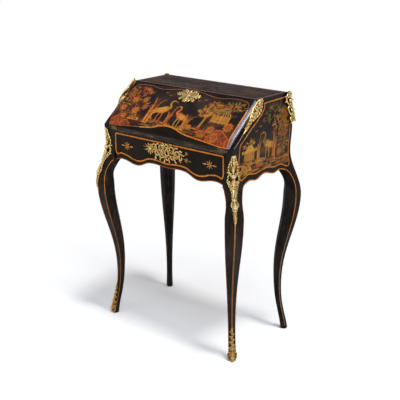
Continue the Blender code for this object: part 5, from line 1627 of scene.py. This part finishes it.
knee = frond(0, -30, 90, 30, 15, 1.2) + frond(0, -68, 90, 44, 13, 1.6) + [bead(0, -8, 5.0, 2.2, 1.3)]
knee += [bead(0, -72, 7.0, 2.6), bead(0, -26, 4.6, 3.0), rail([(0, -20), (0, -70), (0, -140)], 6)]
knee += frond(0, -78, -90, 36, 17, 1.8) + [leaf(0, -64, 90, 46, 18, -2.5), leaf(0, -150, -90, 36, 20, -3.0)]
knee += both(
    leaf(6, -86, -94, 50, 13, -1.2), leaf(13, -90, -104, 36, 12, -1.6),
    *frond(5, -92, -98, 44, 12, 0.6), leaf(16, -64, 96, 34, 8, -1.5),
)
knee += both(
    leaf(4, -22, 70, 18, 8, 1.6, 20), bead(9, -25, 4.0, 1.6, 1.3), leaf(5, -46, 68, 22, 7, 1.2, 18),
    rail([(4, -17), (11, -27), (18, -38), (20, -50), (18, -60), (12, -68)], 6.4, 0.8),
    *garland([(3, -14), (11, -26), (18, -38), (20, -50), (17, -62), (10, -70)], 7, 13, 7.5, 1.8, 14),
    rail([(0, -74), (10, -70), (20, -66)], 6.4, 1.6), rail([(12, -64), (4, -72), (-6, -80)], 4.6, 2.6),
    rail([(14, -68), (22, -74), (26, -85), (25, -97), (19, -109), (12, -122), (7, -140)], 6.6, 0.8),
    *garland([(13, -67), (22, -74), (26, -86), (24, -99), (18, -112), (11, -126), (6, -142)],
             9, 13, 7.5, 1.8, 14),
    rail([(24, -101), (12, -104), (0, -106)], 6.4, 1.4), rail([(14, -64), (18, -62), (17, -54)], 3.6, 1.8),
    leaf(18, -65, 4, 15, 6.0, 1.0), leaf(24, -92, -16, 12, 6.5, 1.0), leaf(24, -80, 22, 9, 5.0, 0.8),
    scroll(20, -98, 7, 60, 330, 4.6, 0.7, 2.2), bead(26, -99, 3.4, 1.6),
    *frond(11, -98, -102, 40, 12, 1.6, 10), leaf(5, -108, -96, 34, 8, 2.6, 6),
    leaf(17, -104, -112, 22, 8, 1.4, 16), leaf(9, -128, -70, 12, 6, 0.8, -20), bead(7, -143, 4.4, 1.6),
    rail([(0, -146), (9, -150), (17, -160)], 5.4, 1.2), *frond(4, -148, -60, 26, 10, 1.2, -34),
    leaf(8, -160, -84, 22, 7, 1.2, -12), scroll(11, -163, 7, 120, -330, 4.8, 0.7, 2.0),
    leaf(2, -180, -74, 18, 6.5, 1.0, -14), leaf(2, -194, -76, 15, 6.0, 1.0, -12),
    leaf(2, -206, -78, 12, 5.0, 0.6, -10),
)
knee += [bead(0, -144, 5.5, 2.6), *frond(0, -146, -90, 40, 16, 2.0), bead(0, -166, 6.4, 3.4, 1.3)]
knee += [*frond(0, -176, -90, 52, 11, 1.4), rail([(0, -176), (0, -222)], 3.6, 2.4)]
for hand, side in SIDES.items():
    cast(f"knee_mount_{hand}", knee, on_knee(side), "carcass", f"knee_chute_{hand}")

# %% [markdown]
# ## Mounts on the sloping edges
# The same leaves, smaller. One half of the casting lies beside the lid and the other on the side panel;
# its upper end rises over the corner of the top. The rule for it works with a section across the edge,
# and moves each point out along that section, so the leaves keep their thickness round the arch.

# %% Slope mounts
SLANT_TOP, SLANT_STRETCH, SLANT_LIFT = 0.2125, 1.18, 1.0 * MM
LID_CLEAR, CLEAR_SLACK = 0.2817 + 0.9 * MM, 0.3 * MM
SLANT_STEPS = np.array((-20.0, -16.0, -12.0, -8.0, -4.0, 0.0)) * MM
SLANT_OUT = np.array((1.0, 4.5, 8.0, 10.0, 8.5, 1.0)) * MM
SLANT_UP = np.array((17.0, 17.5, 16.0, 12.5, 7.0, 0.0)) * MM
SLANT_ARCH = {-1: 1.0, 1: 0.76}
ARCH_FROM, ARCH_RUN = 0.072, 0.050
TAPER_PLACES, TAPER_SHARES = (-110 * MM, -50 * MM), (0.62, 1.0)
# The backs of the slope mounts keep a mid tone, out of the painted shade of the hollows.
PROBE = 2 * MM
SLANT_BACK_LEVEL = 0.64


def on_slant(side):
    """Bends a flat casting over the sloping edge: u > 0 on the side, u < 0 up to the lid's face."""

    def section(u, run):
        """The line across the edge: how far it lies to the side, and how far out from the slope."""
        arch = SLANT_ARCH[side] * ease((run - ARCH_FROM) / ARCH_RUN)
        out = np.where(u < 0, np.interp(u, SLANT_STEPS, SLANT_UP) * arch, -u)
        reach = np.maximum(side_reach(on_slope(u, run, out)[:, 2]), LID_CLEAR)
        share = np.clip(u / SLANT_STEPS[0], 0, 1)
        across = reach + (LID_CLEAR - reach) * share + np.interp(u, SLANT_STEPS, SLANT_OUT) * arch * (u < 0)
        return across, out

    def bend(u, v, h):
        u = np.where(u > 0, u * np.interp(v, TAPER_PLACES, TAPER_SHARES), u)
        run = SLANT_TOP + SLANT_STRETCH * v
        across, out = section(u, run)
        (x0, out0), (x1, out1) = section(u - PROBE, run), section(u + PROBE, run)
        turn = np.arctan2(x1 - x0, out0 - out1)
        x = np.maximum(across + np.cos(turn) * (h + SLANT_LIFT), LID_CLEAR - CLEAR_SLACK)
        return on_slope(side * x, run, out + np.sin(turn) * (h + SLANT_LIFT))

    return bend


slant = frond(0, -24, 90, 24, 17, 1.2) + frond(0, -58, 90, 38, 16, 1.4)
slant += [bead(0, -24, 5.0, 3.0, 1.2), bead(0, -56, 5.0, 2.4, 1.2)]
slant += frond(0, -56, -90, 44, 14, 1.4) + [leaf(0, -70, -90, 50, 9, 1.2)]
slant += [rail([(0, -10), (0, -60), (0, -112)], 5)]
slant += both(
    *frond(4, -24, 58, 22, 10, 1.2, 26),
    rail([(2, -4), (12, -8), (18, -20), (17, -36), (11, -52), (5, -66)], 4.4, 1.0),
    *garland([(0, -1), (11, -6), (18, -19), (17.5, -36), (11, -53), (4, -70)], 8, 12, 7.5, 1.6, 16),
    rail([(6, -5), (9, -26), (6, -52)], 20, -5.0), rail([(13, -14), (15, -28), (11, -46)], 13, -2.9),
    leaf(13, -20, 14, 10, 5.5, 1.0), leaf(9, -70, 84, 62, 14, -2.6), leaf(6, -58, -86, 50, 8, -1.6),
    leaf(13, -36, -30, 11, 5.5, 0.8), scroll(9, -34, 5.4, 40, 330, 4.0, 0.7, 2.4),
    *frond(6, -46, -64, 22, 9, 1.0, -20), leaf(3, -66, -66, 18, 7, 1.0, -16),
    leaf(3, -80, -70, 16, 6, 1.0, -14), leaf(2, -94, -74, 14, 5, 0.8, -12), leaf(8, -10, 70, 10, 5, 0.8),
)
slant += [rail([(-8, -1), (-15, -6), (-18, -20), (-17, -38), (-13, -56), (-7, -74)], 9.0, 0.6)]
slant += fan(-6, -8, 110, 120, 5, 13, 7, 1.0)
for hand, side in SIDES.items():
    cast(f"slant_mount_{hand}", slant, on_slant(side), "carcass", f"slant_chute_{hand}", gilt_matte,
         SLANT_BACK_LEVEL)

# %% [markdown]
# ## Mounts on the back corners
# A chain of leaves and two pairs of bowed rails hangs from each back corner, and stands well out from
# the wood. It goes round the arris like the knee mounts; its height is stretched so that its back still
# reaches the wood.

# %% Back mounts
BACK_TOP, BACK_LIFT = 0.9030, 3.0 * MM
BACK_WIDE, BACK_NARROW = 1.2, 0.9
BACK_DEEP, BACK_PROUD = 4.4, 1.7


def on_back(side):
    """Round a back corner; its walls reach down to the wood, and it stands out well beyond it."""
    bend = on_arris(side, 1, BACK_TOP, BACK_LIFT)

    def stretch(u, v, h):
        return bend(np.where(u > 0, BACK_WIDE * u, BACK_NARROW * u), v,
                    np.where(h < 0, BACK_DEEP * h, BACK_PROUD * h))

    return stretch


chain = frond(0, -26, 90, 26, 15, 1.2) + frond(0, -60, 90, 30, 12, 1.4) + frond(0, -66, -90, 40, 12, 1.2)
chain += [rail([(0, -6), (0, -50), (0, -104)], 5), bead(0, -102, 4.6, 1.2)]
chain += [bead(0, -30, 5, 2.6), bead(0, -64, 4.6, 2.4)]
chain += both(
    rail([(2, -6), (11, -14), (15, -27), (10, -40), (4, -48)], 6.4, 1.2),
    leaf(13, -18, 24, 9, 5.5, 0.8), leaf(13, -32, -24, 9, 5, 0.8),
    rail([(4, -48), (12, -55), (13, -66), (9, -77), (4, -84)], 6.0, 1.2), leaf(11, -58, 20, 8, 5, 0.8),
    scroll(8, -94, 6.5, 100, -330, 4.8, 0.7, 1.6),
    leaf(3, -24, 62, 18, 7, 1.2, 16), leaf(3, -58, 64, 14, 6, 1.2, 12),
    leaf(4, -84, -60, 18, 7, 1.0, -20), leaf(8, -98, -80, 14, 6, 0.8),
)
for hand, side in SIDES.items():
    cast(f"back_mount_{hand}", chain, on_back(side), "carcass", f"back_chute_{hand}")

# %% [markdown]
# ## Shoes on the front feet
# A sabot wraps the toe in a bulb with two volutes, has a collar above it, and a strip of leaves that lie
# left and right in turn as they climb the arris. The strip is a loop: each pair is a little smaller than
# the one below.

# %% Shoes on the front feet
SHOE_LIFT = 0.8 * MM
CLIMB, CLIMB_SHRINK, CLIMB_PAIRS = 9.5, 0.06, 6

shoe = [leaf(0, 3, 90, 44, 8, 2.4), bead(0, 48, 5.0, 2.8), bead(0, 16, 4.6, 3.6, 1.5)]
shoe += [*frond(0, 100, 90, 24, 9, 1.0), rail([(0, 40), (0, 70), (0, 106)], 16, -3.4)]
shoe += both(
    rail([(5, 2), (6, 20), (4, 42)], 9, -0.6), rail([(11, 2), (12.5, 20), (9, 40)], 8, -0.8),
    rail([(16, 2), (17, 16), (13, 32)], 6, -0.8), scroll(9.5, 24, 9.0, -60, 360, 4.6, 0.72, 2.6),
    *garland([(2, 3), (10, 4), (17, 10)], 4, 11, 6.5, 1.2, 30),
    *garland([(1, 30), (4, 40), (10, 46)], 3, 12, 6, 1.6, -10), rail([(0, 46), (6, 46), (13, 43)], 5.6, 1.4),
)
for k in range(CLIMB_PAIRS):
    hand, size, climb = (-1) ** k, 1 - CLIMB_SHRINK * k, CLIMB * k
    shoe += [
        leaf(-hand * 7 * size, 46 + climb, 90 - hand * 52, 22 * size, 9.5 * size, 1.4, hand * 36),
        bead(hand * 8 * size, 58 + climb, 3.4 * size, 1.8),
        leaf(hand * 8 * size, 48 + climb, 90 + hand * 6, 15, 9 * size, -0.8),
        bead(-hand * 3, 51 + climb, 2.6, 2.4),
    ]
for hand, side in SIDES.items():
    cast(f"sabot_leaves_{hand}", shoe, on_arris(side, -1, 0.0, SHOE_LIFT), "carcass", f"sabot_{hand}",
         gilt_shoe)

# %% [markdown]
# ## The drawer's keyhole mount
# This is openwork: an oval for the key, C-scrolls that interlock on both sides, knobs strewn between
# them, drops below and thin sprays at the ends. It could be cut from a plate, but the hollows between
# soft strokes come by themselves when the strokes are melted together.

# %% Keyhole mount of the drawer
DRAWER_KEY_Z, DRAWER_KEY_LIFT = 0.7030, 0.7 * MM
KNOBS, KNOB_SEED = 54, 41
KNOB_ROOM, KNOB_END = 23, 86
ROSE = (-76, 1)
GROUNDS = (
    (-66, 8, -20, 44), (-52, 6, -42, 44), (-30, 14, -50, 46), (-22, -20, 12, 44),
    (2, 16, -60, 40), (14, 12, -24, 60), (20, -14, 6, 50), (-34, 16, 4, 44),
)
CURLS = (
    (-54, 9, 14, 190, -300), (-40, -9, 12, 60, 300), (-19, 13, 14, 250, -310), (-19, -14, 11, 110, 300),
    (4, 21, 9, 200, -300), (24, 13, 13, -70, 310), (28, -12, 12, 70, -300), (52, 0, 13, 180, -320),
    (69, -9, 8, 120, 300), (4, -20, 8, 20, -300),
)
SPRAYS = (
    (-66, 14, 60, 15, 9, -30), (-48, 20, 40, 17, 9, -40), (-48, -16, -104, 24, 9, 10),
    (-30, 22, 20, 18, 10, -30), (-30, -20, -70, 15, 9, -20), (-8, 20, 120, 14, 9, 20),
    (14, 22, 50, 15, 9, -20), (12, -22, -76, 15, 9, 10), (-6, -24, -100, 14, 9, 0),
    (36, 20, 20, 20, 10, -30), (38, -20, -56, 17, 9, 0), (56, 12, 24, 20, 9, -40),
    (58, -14, -50, 17, 8, 0), (66, 2, 10, 18, 8, -30),
)

openwork = []
for k, angle in enumerate(range(70, 430, 40)):
    openwork += frond(*ROSE, angle, 19 + 3 * (k % 2), 10, 0.4, 14)
openwork += [bead(*ROSE, 5.0, 3.0)] + fan(*ROSE, 100, 300, 6, 12, 6.0, 2.4)
openwork += [leaf(-92, 4, 174, 24, 3.4, -0.4), leaf(-90, 10, 158, 16, 3.4, -0.4)]
openwork += [leaf(-92, -4, 194, 18, 3.4, -0.4)]
openwork += [leaf(*ground, 18, -3.0) for ground in GROUNDS]
openwork += [scroll(*curl, 5.2, 0.62, 1.6 + 0.5 * (k % 3)) for k, curl in enumerate(CURLS)]
for k, (*spray, bend) in enumerate(SPRAYS):
    openwork += frond(*spray, 0.4 + 0.5 * (k % 3), bend)
openwork += [oval(4, 0, 8, 12, 5.0, 2.6), bead(4, 14, 3.4, 3.0), bead(-48, -28, 3.6, 1.6, 1.5)]
dice = np.random.default_rng(KNOB_SEED)
for _ in range(KNOBS):
    u = dice.uniform(-64, 72)
    room = KNOB_ROOM * (1 - (u / KNOB_END) ** 2)
    v, size = dice.uniform(-room, room), dice.uniform(1.9, 3.1)
    openwork.append(bead(u, v, size, dice.uniform(0.2, 2.2), dice.uniform(1.0, 1.7)))
openwork += [rail([(74, -3), (82, 2), (92, 9)], 3.2, -0.2)]
openwork += [rail([(74, -9), (88, -12), (106, -14)], 3.2, -0.2)]
openwork += [bead(92, 9, 2.8, 0.2), bead(90, -12, 2.8, 0.2)]
openwork += fan(91, 9, 50, 150, 4, 13, 3.6, -0.3) + fan(90, -12, -30, 220, 6, 14, 3.6, -0.3)
openwork += [leaf(102, -13, -8, 14, 3.4, -0.3)]


def on_drawer_key(u, v, h):
    """Lays a casting on the drawer, round its keyhole."""
    return on_drawer(u, DRAWER_KEY_Z + v, h + DRAWER_KEY_LIFT)


cast("drawer_key_mount", openwork, on_drawer_key, "drawer", "drawer_keyhole_plate", gilt_dull)

# %% [markdown]
# ## The lid's keyhole mount
# A burst of broad leaves round the key's oval, with two small scrolls. It is cast like the drawer's, and
# its relief is then scaled to a set height; sculpting it lower by hand would flatten the leaves unevenly.

# %% Keyhole mount of the lid
LID_KEY_RUN, LID_KEY_SCALE = 0.1739, 0.94
LID_KEY_RELIEF, LID_KEY_LIFT = 4.2 * MM, 0.4 * MM
LOBE_SCALE = 1.35
LOBES = (
    (-6, 2, 170, 52, 18, 14), (6, 0, -2, 54, 18, 12), (-4, 4, 128, 31, 16, 16), (6, 4, 52, 30, 17, -16),
    (0, -4, 256, 24, 18, 10), (12, -4, -28, 34, 14, -10), (-10, -4, 206, 30, 14, 10), (14, 3, 22, 32, 13, 12),
    (0, 2, 92, 24, 14, 0), (-14, 4, 150, 30, 12, -8), (6, -6, 290, 22, 12, 0),
)

burst = []
for k, (u, v, angle, length, width, bend) in enumerate(LOBES):
    burst += frond(u, v, angle, length, LOBE_SCALE * width, -0.8 + 0.4 * (k % 3), bend)
burst += [bead(0, 0, 8.0, 0.2, 1.2), oval(0, 0, 8, 10, 4.0, 2.0)]
burst += [bead(-26, 4, 4.2, 1.4), bead(28, 0, 4.2, 1.4)]
burst += [scroll(16, 9, 7, 200, -320, 4.4, 0.66, 1.2), scroll(-16, -8, 7, 20, -320, 4.4, 0.66, 1.2)]


def on_lid_key(u, v, h):
    """Lays a casting on the lid, round its keyhole."""
    rise = h * LID_KEY_RELIEF / h.max() + LID_KEY_LIFT
    return on_lid(LID_KEY_SCALE * u, LID_KEY_RUN + LID_KEY_SCALE * v, rise)


cast("lid_key_mount", burst, on_lid_key, "lid", "lid_keyhole_plate")

# %% [markdown]
# ## Stars on the drawer
# Two little gold stars, long in the arms, with a rust heart. They are strokes again, pressed almost flat:
# a flat star could be cut from a plane, but paint that thick has rounded edges.

# %% Stars on the drawer
STAR_X, STAR_Z = 0.192, 0.693
ARMS = (13, 17, 17, 17, 13, 17, 17, 17)
rays = [leaf(0, 0, angle, length, 3.3) for angle, length in zip(range(0, 360, 45), ARMS)]
rays += [leaf(side * 12, 0, 90 - 90 * side, 19, 4.6) for side in SIDES.values()]
STAR_PARTS = {"rays": (rays, star_gold, 0.3), "heart": ([bead(0, 0, 4.2)], rust_paint, 0.4)}
for hand, side in SIDES.items():
    for part, (strokes, material, flatness) in STAR_PARTS.items():
        middle = (side * STAR_X, STAR_Z, 0)
        scaled = [(path * MM + middle, radii * MM, closed) for path, radii, closed in strokes]
        star = strokes_mesh(f"star_{part}_{hand}", scaled, 1)
        points = mesh_points(star)
        points[:, 2] *= flatness
        move_points(star, on_drawer(*points.T))
        finish_piece(star, material, "drawer")
